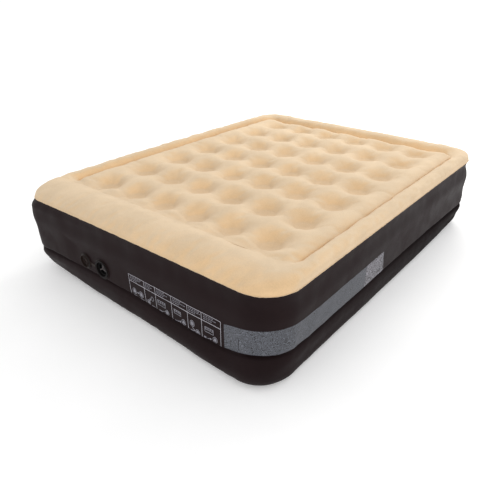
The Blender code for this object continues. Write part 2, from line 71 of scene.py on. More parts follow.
# the crease between the edge tube and the middle panel, and its height by side
CREASE_Z, CREASE_RIGHT_Z, CREASE_NEAR_Z = 0.412, 0.426, 0.441
SHOULDER = 0.060                            # width of the panel's rise from the crease
CREST_AT, CREST_NEAR_AT = 0.42, 0.68        # share of the tube's width where its crest is
DIMPLE_DEPTH, DIMPLE_SIGMA = 0.050, 0.078
WELD_R, BEAM_R = 0.044, 0.046
COLS, ROWS = 6, 7
PITCH_X, PITCH_Y, GRID_Y = 0.2045, 0.241, 0.034
PANEL_X, PANEL_NEAR, PANEL_FAR, PANEL_R = 0.690, -0.800, 0.885, 0.060
WAIST_Z = 0.134
FOOT_INSET = 0.043                          # where the wall's foot meets the base
PORT_X, PORT_Y, PORT_Z = -0.190, -(HALF_Y - 0.003), 0.190
CAP_X = -0.3125
HINGE_X = (PORT_X + CAP_X) / 2

# corners, anticlockwise: side in x and y, radius, drop of the seam, lift of the foot,
# bulge at each height of BULGE_Z
BULGE_Z = (0.0, 0.060, 0.134, 0.250, 0.364, 0.411)
CORNERS = (
    (1, -1, 0.155, 0.000, 0.000, (0.0167, 0.0175, 0.0067, 0.0026, 0.0010, 0.0)),
    (1, 1, 0.135, 0.004, 0.0145, (-0.0058, -0.0046, 0.0200, 0.0065, 0.0120, 0.0)),
    (-1, 1, 0.135, 0.006, 0.0080, (-0.0030, -0.0020, 0.0100, 0.0060, 0.0080, 0.0)),
    (-1, -1, 0.129, 0.009, 0.0200, (-0.0270, -0.0036, 0.0234, 0.0222, 0.0340, 0.0)),
)
NEAR_RIGHT, FAR_RIGHT = 0, 1                # places in CORNERS
REACH, LEAN_REACH = 0.42, 0.55
# lean of the near right corner in x and in y, at each height of LEAN_Z
LEAN_Z = (0.0, 0.060, 0.134, 0.300)
LEAN = ((-0.012, -0.018, -0.004, 0.0), (-0.014, -0.018, -0.004, 0.0))
# section of the wall from seam to foot: height, inset from the outline
WALL = (
    (0.4080, 0.0040), (0.3960, 0.0075), (0.3640, 0.0085), (0.3000, 0.0005),
    (0.2400, 0.0030), (0.1900, 0.0045), (0.1480, 0.0070), (0.1340, 0.0195),
    (0.1220, 0.0080), (0.0900, 0.0010), (0.0450, 0.0035), (0.0180, 0.0125),
    (0.0060, 0.0285), (0.0030, 0.0480),
)
WAIST_ROW = 7                               # the pinch, in WALL
# coil beams: row, column, x, y
CENTRES = [(row + 1, col + 1, (col - (COLS - 1) / 2) * PITCH_X,
            GRID_Y + (row - (ROWS - 1) / 2) * PITCH_Y)
           for row in range(ROWS) for col in range(COLS)]


# ---------------------------------------------------------------- number helpers
def smooth_curve(xs, ys):
    """Monotone cubic through the points, as a function of arrays."""
    xs, ys = np.array(xs, float), np.array(ys, float)
    if xs[0] > xs[-1]:
        xs, ys = xs[::-1], ys[::-1]
    gap = np.diff(xs)
    rise = np.diff(ys) / gap
    slope = np.zeros_like(xs)
    for i in range(1, len(xs) - 1):
        if rise[i - 1] * rise[i] > 0:
            a, b = 2 * gap[i] + gap[i - 1], gap[i] + 2 * gap[i - 1]
            slope[i] = (a + b) / (a / rise[i - 1] + b / rise[i])
    slope[0], slope[-1] = rise[0], rise[-1]

    def curve(x):
        x = np.clip(np.asarray(x, float), xs[0], xs[-1])
        i = np.clip(np.searchsorted(xs, x) - 1, 0, len(xs) - 2)
        t = (x - xs[i]) / gap[i]
        return ((1 + 2 * t) * (1 - t) ** 2 * ys[i] + t * (1 - t) ** 2 * gap[i] * slope[i]
                + t * t * (3 - 2 * t) * ys[i + 1] + t * t * (t - 1) * gap[i] * slope[i + 1])
    return curve


def step(start, end, x):
    """Smooth step from 0 at start to 1 at end."""
    t = np.clip((np.asarray(x, float) - start) / (end - start), 0, 1)
    return t * t * (3 - 2 * t)


def bell(x, width):
    return np.exp(-(np.asarray(x, float) / width) ** 2)


def band_noise(at, length, waves, seed):
    """Smooth periodic noise of unit strength along a loop; waves: shortest, longest."""
    rng = np.random.default_rng(seed)
    fewest, most = max(1, int(length / waves[1])), int(length / waves[0])
    counts = np.unique(np.linspace(fewest, most, 26).astype(int))
    out = np.zeros_like(np.asarray(at, float))
    for k in counts:
        out += rng.normal() * np.sin(TAU * k * at / length + rng.uniform(0, TAU))
    return out / math.sqrt(len(counts) / 2)


def sheet_noise(x, y, wave, seed):
    """Smooth noise of unit strength over a plane."""
    rng = np.random.default_rng(seed)
    count = 22
    out = np.zeros_like(np.asarray(x, float))
    for _ in range(count):
        angle, k = rng.uniform(0, TAU), TAU / (wave * rng.uniform(0.7, 1.5))
        out += np.sin(k * (x * math.cos(angle) + y * math.sin(angle)) + rng.uniform(0, TAU))
    return out / math.sqrt(count / 2)


# ---------------------------------------------------------------- form of the bed
BULGES = [smooth_curve(BULGE_Z, corner[5]) for corner in CORNERS]
LEANS = [smooth_curve(LEAN_Z, values) for values in LEAN]


def near(x, y, corner, reach=REACH):
    """1 at that corner, fading to 0 over the reach."""
    side_x, side_y = CORNERS[corner][:2]
    return np.exp(-((x - side_x * HALF_X) ** 2 + (y - side_y * HALF_Y) ** 2) / reach ** 2)


def waist_sag(x, y, z):
    """How far the pinch hangs below its regular height along the valve end."""
    dip = 0.022 * step(-0.300, 0.450, x) * (1 - step(0.530, 0.680, x)) * step(-0.900, -0.970, y)
    dip = dip - 0.010 * near(x, y, NEAR_RIGHT, 0.20)
    return dip * np.minimum(1, z / 0.12) * (1 - step(0.150, 0.235, z))


def shaped(x, y, z):
    """Give points of the regular bed their place in the uneven one."""
    x, y, z = np.broadcast_arrays(*(np.asarray(a, float) for a in (x, y, z)))
    low_z = np.minimum(z, SEAM_Z)
    new_x, new_y, new_z = x.copy(), y.copy(), z.copy()
    for k, (side_x, side_y, _, drop, lift, _) in enumerate(CORNERS):
        share = near(x, y, k)
        out = BULGES[k](low_z) * share / math.sqrt(2)
        new_x += side_x * out
        new_y += side_y * out
        new_z += lift * share * np.maximum(0, 1 - z / 0.2) - drop * share * np.minimum(
            1, z / SEAM_Z)
    share = near(x, y, NEAR_RIGHT, LEAN_REACH)
    new_x += share * LEANS[0](low_z)
    new_y += share * LEANS[1](low_z)
    return np.stack([new_x, new_y, new_z - waist_sag(x, y, z)], -1)


def pad(x, y, z):
    """1 where the wall is held flat round the valve, 0 away from it."""
    middle, half, fade = -0.2475, 0.1185, 0.10
    low, low_fade, high, high_fade = 0.1495, 0.012, 0.2405, 0.06
    flat_x = np.maximum(0, 1 - np.maximum(0, abs(x - middle) - half) / fade)
    flat_z = np.maximum(0, 1 - np.maximum(0, low - z) / low_fade)
    flat_z = np.minimum(flat_z, np.maximum(0, 1 - np.maximum(0, z - high) / high_fade))
    flat = np.where(np.asarray(y) > -0.5, 0.0, np.minimum(flat_x, flat_z))
    return flat * flat * (3 - 2 * flat)


def rounded_distance(x, y, half_x, y_near, y_far, radius):
    """Distance inwards from a rounded rectangle, negative outside it."""
    middle, half = (y_near + y_far) / 2, (y_far - y_near) / 2
    over_x = abs(x) - (half_x - radius)
    over_y = abs(y - middle) - (half - radius)
    return (radius - np.hypot(np.maximum(over_x, 0), np.maximum(over_y, 0))
            - np.minimum(np.maximum(over_x, over_y), 0))


def corner_radius(x, y):
    out = np.zeros_like(np.asarray(x, float))
    for side_x, side_y, radius, *_ in CORNERS:
        out = np.where((side_x * x >= 0) & (side_y * y >= 0), radius, out)
    return out


# ------------------------------------------------------------------ mesh helpers
def normals_of(points, quads):
    face = np.cross(points[quads[:, 2]] - points[quads[:, 0]],
                    points[quads[:, 3]] - points[quads[:, 1]])
    out = np.zeros_like(points)
    for k in range(4):
        np.add.at(out, quads[:, k], face)
    return out / np.maximum(np.linalg.norm(out, axis=1), 1e-12)[:, None]


def border_edges(quads):
    """Directed edges that only one face uses."""
    edges = np.concatenate([np.stack([quads[:, k], quads[:, (k + 1) % 4]], 1)
                            for k in range(4)])
    _, back, count = np.unique(np.sort(edges, 1), axis=0, return_inverse=True,
                               return_counts=True)
    return edges[count[back.ravel()] == 1]


def shell(points, quads, thick):
    """Closed sheet: the faces, a copy pushed in against the normals, and a rim."""
    count = len(points)
    rim = border_edges(quads)
    rim = np.stack([rim[:, 1], rim[:, 0], rim[:, 0] + count, rim[:, 1] + count], 1)
    return (np.concatenate([points, points - normals_of(points, quads) * thick]),
            np.concatenate([quads, quads[:, ::-1] + count, rim]))


def grid_quads(rows, cols, wrap_rows=False, wrap_cols=False):
    """Quads of a grid whose point (i, j) has number i * cols + j."""
    i = np.arange(rows if wrap_rows else rows - 1)
    j = np.arange(cols if wrap_cols else cols - 1)
    i, j = [k.ravel() for k in np.meshgrid(i, j, indexing="ij")]
    after, beside = (i + 1) % rows, (j + 1) % cols
    return np.stack([i * cols + j, after * cols + j, after * cols + beside,
                     i * cols + beside], 1)


def cut_hole(points, quads, centre, side, distance, cut, reach, radius):
    """Drop the quads closer than `cut`, and round the rim in place.

    The hole lies across axis `side` and Z; `distance` measures points from its centre.
    """
    quads = quads[distance(points[quads].mean(1)) >= cut]
    rim = np.unique(border_edges(quads))
    rim = rim[distance(points[rim]) < reach]
    middle = np.array([centre[side], centre[2]])
    away = points[rim][:, [side, 2]] - middle
    far = np.hypot(away[:, 0], away[:, 1])[:, None]
    points[rim[:, None], [side, 2]] = middle + away / far * radius
    return quads


def compact(points, quads):
    """Drop the points that no quad uses."""
    used = np.unique(quads)
    number = np.full(len(points), -1)
    number[used] = np.arange(len(used))
    return points[used], number[quads]


def build(name, points, faces, mat, sharp=60, values=None):
    """Mesh object from points and faces, with its rest place kept for the materials."""
    points = np.asarray(points, float)
    mesh = bpy.data.meshes.new(name)
    mesh.from_pydata(points.tolist(), [], [list(map(int, face)) for face in faces])
    mesh.update()
    rest = mesh.attributes.new("rest", "FLOAT_VECTOR", "POINT")
    rest.data.foreach_set("vector", points.astype(np.float32).ravel())
    for key, value in (values or {}).items():
        mesh.attributes.new(key, "FLOAT", "POINT").data.foreach_set(
            "value", np.asarray(value, np.float32).ravel())
    mesh.materials.append(mat)
    mesh.shade_smooth()
    mesh.set_sharp_from_angle(angle=math.radians(sharp))
    ob = bpy.data.objects.new(name, mesh)
    bpy.context.scene.collection.objects.link(ob)
    return ob


def fit(ob, replaces, ride):
    """Hide the CAD part that the object stands for, and hang the object on the body it rides
    on.
    """
    if replaces:
        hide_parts(replaces)
    if ride:
        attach(ob, ride)
    return ob


def flatten(ob):
    """Give the object a mesh of its own."""
    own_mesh(ob)


def fillet(corners, radius, steps=3):
    """Round the corners of a closed (radius, z) profile."""
    out = []
    count = len(corners)
    for i in range(count):
        here, before, after = (np.array(corners[k % count], float) for k in (i, i - 1, i + 1))
        if here[0] < 1e-6:
            out.append(tuple(here))
            continue
        before, after = before - here, after - here
        to_before, to_after = np.linalg.norm(before), np.linalg.norm(after)
        cut = min(radius, to_before * 0.45, to_after * 0.45)
        start, end = here + before / to_before * cut, here + after / to_after * cut
        for k in range(steps + 1):
            t = k / steps
            out.append(tuple((1 - t) ** 2 * start + 2 * t * (1 - t) * here + t * t * end))
    return out


def turned(profile, steps, wobble=None):
    """Turn a closed (radius, z) profile about +Z: points and faces of a closed solid."""
    points, rows, faces = [], [], []
    for radius, z in profile:
        turns = 1 if radius < 1e-6 else steps
        rows.append(range(len(points), len(points) + turns))
        for k in range(turns):
            angle = TAU * k / steps
            out = radius + (wobble(angle, radius, z) if wobble else 0.0)
            points.append((out * math.cos(angle), out * math.sin(angle), z))
    for row, after in zip(rows, rows[1:] + rows[:1]):
        if len(row) == len(after) == 1:
            continue
        for k in range(steps):
            beside = (k + 1) % steps
            # a row of one point, on the axis, gives triangles
            faces.append(tuple(dict.fromkeys((
                row[beside % len(row)], row[k % len(row)],
                after[k % len(after)], after[beside % len(after)]))))
    points = np.array(points)
    # faces look outwards when the signed volume is positive
    volume = sum(np.dot(points[face[0]], np.cross(points[face[k]], points[face[k + 1]]))
                 for face in faces for k in range(1, len(face) - 1))
    if volume < 0:
        faces = [face[::-1] for face in faces]
    return points, faces


def box_bar(x, half_width, z, rounding, taper=1.0, steps=8):
    """Rounded bar along +X between two x and two z, wider at its ends by `taper`."""
    half, middle = (z[1] - z[0]) / 2, (z[0] + z[1]) / 2
    points = []
    for i in range(steps + 1):
        t = i / steps
        width = half_width * (1 + (taper - 1) * (2 * t - 1) ** 2)
        for k in range(16):
            side_y, side_z = ((1, 1), (-1, 1), (-1, -1), (1, -1))[k // 4]
            angle = math.radians(90 * (k // 4) + 30 * (k % 4))
            points.append((x[0] + (x[1] - x[0]) * t,
                           side_y * (width - rounding) + rounding * math.cos(angle),
                           middle + side_z * (half - rounding) + rounding * math.sin(angle)))
    ends = [list(range(15, -1, -1)), list(range(steps * 16, steps * 16 + 16))]
    return np.array(points), grid_quads(steps + 1, 16, wrap_cols=True).tolist() + ends


def spun(points, angle):
    """Points turned about Z."""
    x, y, z = points.T
    cos, sin = math.cos(angle), math.sin(angle)
    return np.stack([x * cos - y * sin, x * sin + y * cos, z], 1)


def out_of_wall(points, x=PORT_X):
    """Local (x, y, outwards) to the bed's frame, for parts that face out of the -Y end."""
    points = np.asarray(points, float)
    return np.stack([x + points[:, 0], PORT_Y - points[:, 2], PORT_Z + points[:, 1]], 1)


def fused(name, parts, mat, x=PORT_X):
    """One closed body from overlapping closed parts, set on the wall at x."""
    obs = [build(f"{name}_bit{k}", *part, mat) for k, part in enumerate(parts)]
    for other in obs[1:]:
        join = obs[0].modifiers.new("join", "BOOLEAN")
        join.operation, join.object, join.solver = "UNION", other, "EXACT"
    mesh = bpy.data.meshes.new_from_object(
        obs[0].evaluated_get(bpy.context.evaluated_depsgraph_get()))
    points = np.array([vertex.co for vertex in mesh.vertices])
    faces = [tuple(face.vertices) for face in mesh.polygons]
    for ob in obs:
        bpy.data.objects.remove(ob)
    bpy.data.meshes.remove(mesh)
    uses = Counter(frozenset(edge) for face in faces
                   for edge in zip(face, face[1:] + face[:1]))
    if any(count != 2 for count in uses.values()):
        # the union isn't closed: keep the closed parts as they are
        points = np.concatenate([part for part, _ in parts])
        faces, start = [], 0
        for part, part_faces in parts:
            faces += [[i + start for i in face] for face in part_faces]
            start += len(part)
    return build(name, out_of_wall(points, x), faces, mat, 35)


# -------------------------------------------------------------------- materials
class Nodes:
    """A node material and short ways to wire it."""

    def __init__(self, name):
        self.mat = bpy.data.materials.new(name)
        self.mat.use_nodes = True
        self.tree = self.mat.node_tree

    def set(self, socket, value):
        if isinstance(value, bpy.types.NodeSocket):
            self.tree.links.new(value, socket)
        elif value is not None:
            socket.default_value = (*value, 1) if socket.type == "RGBA" else value

    def node(self, kind, inputs=None, **props):
        node = self.tree.nodes.new(kind)
        for key, value in props.items():
            setattr(node, key, value)
        for key, value in (inputs or {}).items():
            self.set(node.inputs[key], value)
        return node

    def rest(self):
        return self.node("ShaderNodeAttribute", attribute_name="rest").outputs["Vector"]

    def noise(self, vector, scale, detail=4.0, rough=0.55, warp=0.0):
        return self.node("ShaderNodeTexNoise", {
            "Vector": vector, "Scale": scale, "Detail": detail, "Roughness": rough,
            "Distortion": warp}).outputs["Fac"]

    def voronoi(self, vector, scale, feature="F1"):
        return self.node("ShaderNodeTexVoronoi", {"Vector": vector, "Scale": scale},
                         feature=feature).outputs["Distance"]

    def math(self, operation, a, b=None):
        return self.node("ShaderNodeMath", {0: a, 1: b}, operation=operation).outputs[0]

    def add(self, a, b):
        return self.math("ADD", a, b)

    def less(self, a, b):
        return self.math("SUBTRACT", a, b)

    def times(self, a, b):
        return self.math("MULTIPLY", a, b)

    def radius(self, a, b):
        return self.math("SQRT", self.add(self.times(a, a), self.times(b, b)))

    def ramp(self, value, span, to=(0.0, 1.0)):
        """Smooth step over the span of values, from one result to the other."""
        return self.node("ShaderNodeMapRange", {
            "Value": value, "From Min": span[0], "From Max": span[1],
            "To Min": to[0], "To Max": to[1]}, interpolation_type="SMOOTHSTEP"
        ).outputs["Result"]

    def mix(self, share, a, b, blend="MIX"):
        return self.node("ShaderNodeMix", {0: share, 6: a, 7: b},
                         data_type="RGBA", blend_type=blend).outputs[2]

    def split(self, vector):
        return tuple(self.node("ShaderNodeSeparateXYZ", {0: vector}).outputs)

    def stretch(self, vector, scale):
        return self.node("ShaderNodeVectorMath", {0: vector, 1: scale},
                         operation="MULTIPLY").outputs[0]

    def bump(self, height, strength, depth, under=None):
        return self.node("ShaderNodeBump", {"Height": height, "Strength": strength,
                                            "Distance": depth, "Normal": under}).outputs[0]

    def pebbles(self, rest, strength, depth):
        """Pebble grain of calendered vinyl."""
        return self.bump(self.voronoi(rest, 620.0, "SMOOTH_F1"), strength, depth)

    def done(self, colour, rough, normal=None, **more):
        """Feed the Principled node; more names its sockets in lower case."""
        inputs = self.tree.nodes["Principled BSDF"].inputs
        self.set(inputs["Base Color"], colour)
        self.set(inputs["Roughness"], rough)
        self.set(inputs["Normal"], normal)
        for key, value in more.items():
            self.set(inputs[key.replace("_", " ").title().replace("Ior", "IOR")], value)
        return self.mat


def srgb(*channels):
    """Linear colour from 0-255 channels."""
    return tuple(((c / 255 + 0.055) / 1.055) ** 2.4 if c > 10 else c / 255 / 12.92
                 for c in channels)


def scaled(colour, gain, plus=0.0):
    return tuple(c * gain + plus for c in colour)


def flock_material(name, light, hollow_shade):
    """Short velvet pile: fibres, small clumps, sweeps of the nap, warmer seen face on, and
    painted shade in the hollows.
    """
    net = Nodes(name)
    rest = net.rest()
    face_gain = (1.11, 1.0, 0.845)          # of the light colour, seen face on
    sweep = net.noise(net.stretch(rest, (1.0, 0.55, 1.0)), scale=9.0, detail=3.0, rough=0.5,
                      warp=0.6)
    clump = net.noise(rest, scale=170.0, detail=5.0, rough=0.65)
    fibre = net.noise(rest, scale=1500.0, detail=3.0, rough=0.8)
    speck = net.voronoi(rest, scale=950.0)
    # painted shade: the hollow colour is mixed in by the shade amount stored on the mesh for
    # dimples, crease and edge
    painted_shade = net.node("ShaderNodeAttribute", attribute_name="painted_shade").outputs["Fac"]
    colour = net.mix(net.ramp(painted_shade, (0.0, 1.0)), light, hollow_shade)
    glance = net.node("ShaderNodeLayerWeight", {"Blend": 0.5}).outputs["Facing"]
    colour = net.mix(net.ramp(glance, (0.08, 0.56)),
                     tuple(a * b for a, b in zip(face_gain, light)), colour)
    shade = net.add(net.ramp(sweep, (0.35, 0.68), to=(0.955, 1.03)),
                    net.ramp(clump, (0.3, 0.7), to=(-0.035, 0.035)))
    shade = net.add(shade, net.ramp(fibre, (0.25, 0.75), to=(-0.05, 0.05)))
    grey = net.node("ShaderNodeCombineColor", {0: shade, 1: shade, 2: shade})
    colour = net.mix(1.0, colour, grey.outputs[0], "MULTIPLY")
    nap = net.bump(clump, strength=0.35, depth=0.0016)
    nap = net.bump(fibre, strength=0.55, depth=0.0007, under=nap)
    nap = net.bump(speck, strength=0.25, depth=0.0005, under=nap)
    return net.done(colour, net.ramp(clump, (0.3, 0.7), to=(0.86, 0.97)), nap,
                    sheen_weight=0.18, sheen_roughness=0.45, sheen_tint=(1.0, 0.93, 0.82),
                    specular_ior_level=0.18)


def vinyl_material(name, dark, pale, rough=0.50, grain=1.0, dust=0.06):
    """Calendered vinyl: pebble grain, softer glossy patches, faint dust and scuffs, and painted
    shade low on the right side.
    """
    net = Nodes(name)
    rest = net.rest()
    fine = net.noise(rest, scale=1900.0, detail=3.0, rough=0.6)
    patch = net.noise(rest, scale=7.0, detail=4.0, rough=0.55, warp=0.4)
    cloud = net.noise(rest, scale=34.0, detail=5.0, rough=0.6)
    scuff = net.noise(net.stretch(rest, (1.0, 1.0, 7.0)), scale=90.0, detail=6.0, rough=0.72,
                      warp=1.6)
    scuffs = net.ramp(scuff, (0.63, 0.74))
    x, y, z = net.split(rest)
    low = net.ramp(z, (0.0, 0.11), to=(1.0, 0.0))
    # painted shade: the right side below the waist is darker, more so towards the far end,
    # where the bulge above shades it
    shade = net.times(net.ramp(x, (0.62, 0.76)), net.ramp(z, (0.126, 0.142), to=(1.0, 0.0)))
    shade = net.times(shade, net.ramp(y, (-0.95, 0.75), to=(0.22, 0.72)))
    powder = net.times(net.ramp(cloud, (0.42, 0.72)), net.add(net.times(low, 0.6), 0.4))
    colour = net.mix(net.ramp(patch, (0.3, 0.7), to=(0.0, 0.55)), dark, pale)
    colour = net.mix(net.times(powder, dust), colour, scaled(pale, gain=3.2, plus=0.012))
    colour = net.mix(net.times(scuffs, 0.22), colour, scaled(pale, gain=2.4, plus=0.01))
    colour = net.mix(net.times(shade, 0.75), colour, (0.0015, 0.0010, 0.0010))
    roughness = net.add(net.ramp(patch, (0.3, 0.7), to=(rough - 0.05, rough + 0.07)),
                        net.times(net.add(scuffs, powder), 0.09))
    normal = net.pebbles(rest, strength=0.30 * grain, depth=0.0005)
    normal = net.bump(fine, strength=0.14 * grain, depth=0.0002, under=normal)
    normal = net.bump(cloud, strength=0.10, depth=0.0012, under=normal)
    # the painted shade also takes away the specular reflection there
    return net.done(colour, roughness, normal,
                    specular_ior_level=net.ramp(shade, (0.0, 1.0), to=(0.06, 0.0)))


def moulded(net, rest, rough):
    """Swirl marks, roughness and spark-finish normal of the hard plastics."""
    spark = net.noise(rest, scale=2600.0, detail=2.0, rough=0.6)
    swirl = net.noise(rest, scale=160.0, detail=6.0, rough=0.62, warp=1.2)
    return (swirl, net.ramp(swirl, (0.3, 0.7), to=(rough - 0.05, rough + 0.12)),
            net.bump(spark, strength=0.25, depth=0.00012))


def plastic_material(name, colour, edge, rough, specular):
    """Moulded plastic with paler handled edges."""
    net = Nodes(name)
    swirl, roughness, normal = moulded(net, net.rest(), rough)
    worn = net.ramp(net.node("ShaderNodeNewGeometry").outputs["Pointiness"], (0.53, 0.62))
    mixed = net.mix(net.ramp(swirl, (0.35, 0.7), to=(0.0, 0.35)), colour, edge)
    mixed = net.mix(net.times(worn, 0.5), mixed, edge)
    return net.done(mixed, roughness, normal, specular_ior_level=specular)


def guard_material(name, spoke, rim):
    """Spokes rubbed grey by pump nozzles, in a dark ring."""
    net = Nodes(name)
    rest = net.rest()
    swirl, roughness, normal = moulded(net, rest, rough=0.45)
    x, _, z = net.split(rest)
    radius = net.radius(net.less(x, PORT_X), net.less(z, PORT_Z))
    colour = net.mix(net.ramp(swirl, (0.35, 0.7), to=(0.0, 0.4)), spoke,
                     scaled(spoke, gain=1.4))
    colour = net.mix(net.ramp(radius, (0.0268, 0.0290)), colour, rim)
    return net.done(colour, roughness, normal, specular_ior_level=0.15)


def rubber_material(name, colour):
    net = Nodes(name)
    rest = net.rest()
    grain = net.noise(rest, scale=1300.0, detail=4.0, rough=0.7)
    bloom = net.noise(rest, scale=120.0, detail=5.0, rough=0.6)
    mixed = net.mix(net.ramp(bloom, (0.4, 0.75), to=(0.0, 0.5)), colour,
                    scaled(colour, gain=1.9, plus=0.01))
    return net.done(mixed, net.ramp(bloom, (0.3, 0.7), to=(0.58, 0.75)),
                    net.bump(grain, strength=0.3, depth=0.0002))


def ink_material(name, colour, base):
    """Screen-printed ink: slightly uneven cover over the vinyl grain."""
    net = Nodes(name)
    rest = net.rest()
    cover = net.noise(rest, scale=900.0, detail=4.0, rough=0.7)
    return net.done(net.mix(net.ramp(cover, (0.28, 0.42)), base, colour),
                    net.ramp(cover, (0.3, 0.7), to=(0.42, 0.6)),
                    net.pebbles(rest, strength=0.25, depth=0.0004))


def band_material(name, line, base, squeeze, field, turns, edge, flecks):
    """Printed band of wandering contour lines and flecks, with painted shade towards +X.

    squeeze: of the pattern in z; field: its noise; turns: lines per unit of noise;
    edge: of a line; flecks: scale, edge and strength.
    """
    net = Nodes(name)
    rest = net.rest()
    height = net.noise(net.stretch(rest, (1.0, 1.0, squeeze)), **field)
    turn = net.math("FRACT", net.times(height, turns))
    lines = net.ramp(net.math("PINGPONG", turn, 0.5), edge)
    scale, fleck_edge, strength = flecks
    spots = net.ramp(net.voronoi(rest, scale), fleck_edge)
    mask = net.math("MAXIMUM", lines, net.times(spots, strength))
    worn = net.ramp(net.noise(rest, scale=60.0, detail=6.0, rough=0.7), (0.30, 0.55),
                    to=(0.72, 1.0))
    colour = net.mix(net.times(mask, worn), base, line)
    # painted shade: the band darkens round the near right corner onto the +X side
    x = net.split(rest)[0]
    colour = net.mix(net.ramp(x, (0.72, 0.775), to=(0.0, 0.22)), colour,
                     scaled(base, gain=0.4))
    return net.done(colour, net.ramp(mask, (0.0, 1.0), to=(0.45, 0.55)),
                    net.pebbles(rest, strength=0.25, depth=0.0004), specular_ior_level=0.4)


def base_material(name, dark, pale):
    """Underside vinyl: embossed diamond net, and the round weld of every coil beam."""
    net = Nodes(name)
    rest = net.rest()
    x, y, _ = net.split(rest)
    rising = net.math("PINGPONG", net.add(x, y), 0.0035)
    falling = net.math("PINGPONG", net.less(x, y), 0.0035)
    diamonds = net.ramp(net.math("MINIMUM", rising, falling), (0.0002, 0.0010), to=(1.0, 0.0))
    # columns sit half a pitch either side of the middle, rows on it
    off_x = net.less(net.math("PINGPONG", x, PITCH_X / 2), 0.0)
    grid_y = net.less(y, GRID_Y)
    off_y = net.math("PINGPONG", grid_y, PITCH_Y / 2)
    radius = net.radius(net.less(PITCH_X / 2, off_x), off_y)
    off = net.math("ABSOLUTE", net.less(radius, BEAM_R))
    weld = net.ramp(off, (0.0028, 0.0050), to=(1.0, 0.0))
    inside = net.times(net.ramp(net.math("ABSOLUTE", x), (0.60, 0.602), to=(1.0, 0.0)),
                       net.ramp(net.math("ABSOLUTE", grid_y), (0.80, 0.802), to=(1.0, 0.0)))
    weld = net.times(weld, inside)
    cloud = net.noise(rest, scale=26.0, detail=6.0, rough=0.62)
    fine = net.noise(rest, scale=1500.0, detail=3.0, rough=0.6)
    colour = net.mix(net.ramp(cloud, (0.35, 0.72)), dark, pale)
    colour = net.mix(net.times(weld, 0.45), colour, dark)
    normal = net.bump(net.times(diamonds, net.less(1.0, weld)), strength=0.55, depth=0.0008)
    normal = net.bump(weld, strength=0.8, depth=0.0012, under=normal)
    normal = net.bump(fine, strength=0.15, depth=0.0002, under=normal)
    return net.done(colour, net.ramp(cloud, (0.3, 0.7), to=(0.5, 0.66)), normal)


def flange_material(name, light, dark):
    """Weld flange: pile on its upper side, bare dark vinyl underneath and at its edge."""
    net = Nodes(name)
    rest = net.rest()
    normal = net.node("ShaderNodeNewGeometry").outputs["Normal"]
    upper = net.ramp(net.split(normal)[2], (-0.15, 0.35))
    clump = net.noise(rest, scale=240.0, detail=5.0, rough=0.65)
    fibre = net.noise(rest, scale=1500.0, detail=3.0, rough=0.8)
    knurl = net.voronoi(rest, scale=380.0)
    pile = net.mix(net.ramp(clump, (0.3, 0.7)), light, scaled(light, gain=0.86))
    bare = net.mix(net.ramp(clump, (0.35, 0.75)), dark, scaled(dark, gain=1.8, plus=0.004))
    bumps = net.bump(fibre, strength=0.5, depth=0.0006)
    bumps = net.bump(knurl, strength=0.4, depth=0.0006, under=bumps)
    return net.done(net.mix(upper, bare, pile), net.ramp(upper, (0.0, 1.0), to=(0.5, 0.92)),
                    bumps)


flock = flock_material("beige_flock", light=srgb(223, 199, 167), hollow_shade=srgb(200, 166, 126))
vinyl = vinyl_material("charcoal_vinyl", dark=srgb(31, 21, 22), pale=srgb(37, 26, 27))
flange_mat = flange_material("weld_flange", light=srgb(232, 208, 174), dark=srgb(74, 56, 42))
base_mat = base_material("base_vinyl", dark=srgb(30, 28, 29), pale=srgb(46, 43, 43))
inner_mat = vinyl_material("inner_vinyl", dark=srgb(105, 106, 110), pale=srgb(128, 129, 133),
                           grain=0.6, dust=0.1)
plastic_material("black_plastic", srgb(15, 13, 13), srgb(33, 29, 28), rough=0.38,
                 specular=0.22)
neck_plastic = plastic_material("neck_plastic", srgb(22, 18, 18), srgb(31, 26, 26), rough=0.5,
                                specular=0.10)
guard_plastic = guard_material("guard_plastic", spoke=srgb(88, 82, 82), rim=srgb(11, 10, 10))
cap_plastic = plastic_material("cap_plastic", srgb(36, 26, 23), srgb(50, 38, 34), rough=0.45,
                               specular=0.14)
rubber = rubber_material("soft_rubber", srgb(36, 35, 36))
patch_mat = vinyl_material("patch_vinyl", dark=srgb(29, 20, 20), pale=srgb(38, 28, 28),
                           rough=0.45, grain=0.5, dust=0.12)
ink = ink_material("pale_ink", srgb(196, 194, 203), srgb(60, 56, 60))
ink_soft = ink_material("grey_ink", srgb(128, 126, 136), srgb(50, 47, 50))
ink_dim = ink_material("dim_ink", srgb(148, 147, 156), srgb(56, 53, 56))
band_mat = band_material(
    "band_print", srgb(104, 107, 116), srgb(30, 29, 32), squeeze=1.25,
    field=dict(scale=17.0, detail=3.0, rough=0.55, warp=0.4),
    turns=30.0, edge=(0.20, 0.27), flecks=(420.0, (0.20, 0.13), 0.75))
band_bold = band_material(
    "band_print_end", srgb(150, 147, 155), srgb(44, 42, 46), squeeze=1.5,
    field=dict(scale=15.0, detail=2.0, rough=0.5, warp=0.5),
    turns=15.0, edge=(0.19, 0.25), flecks=(320.0, (0.16, 0.10), 0.5))


# ------------------------------------------------------------------ flocked top
LIP = 0.0030            # flat edge of the top on its weld
WELD_LINE = 0.0014      # half the width of the crease's weld
EDGE = 0.0008           # the top stops this far inside the outline
TOP_X, TOP_Y = HALF_X - EDGE, HALF_Y - EDGE
# distances of the close stations from an end, and from a line
END_STATIONS = np.array([0.0, 0.0006, 0.0016, 0.0032, 0.0050, 0.0072, 0.0105, 0.0150, 0.0210,
                         0.0285, 0.0370])
LINE_STATIONS = np.array([-0.0110, -0.0070, -0.0042, -0.0026, -0.0014, 0,
                          0.0014, 0.0026, 0.0042, 0.0070, 0.0110])


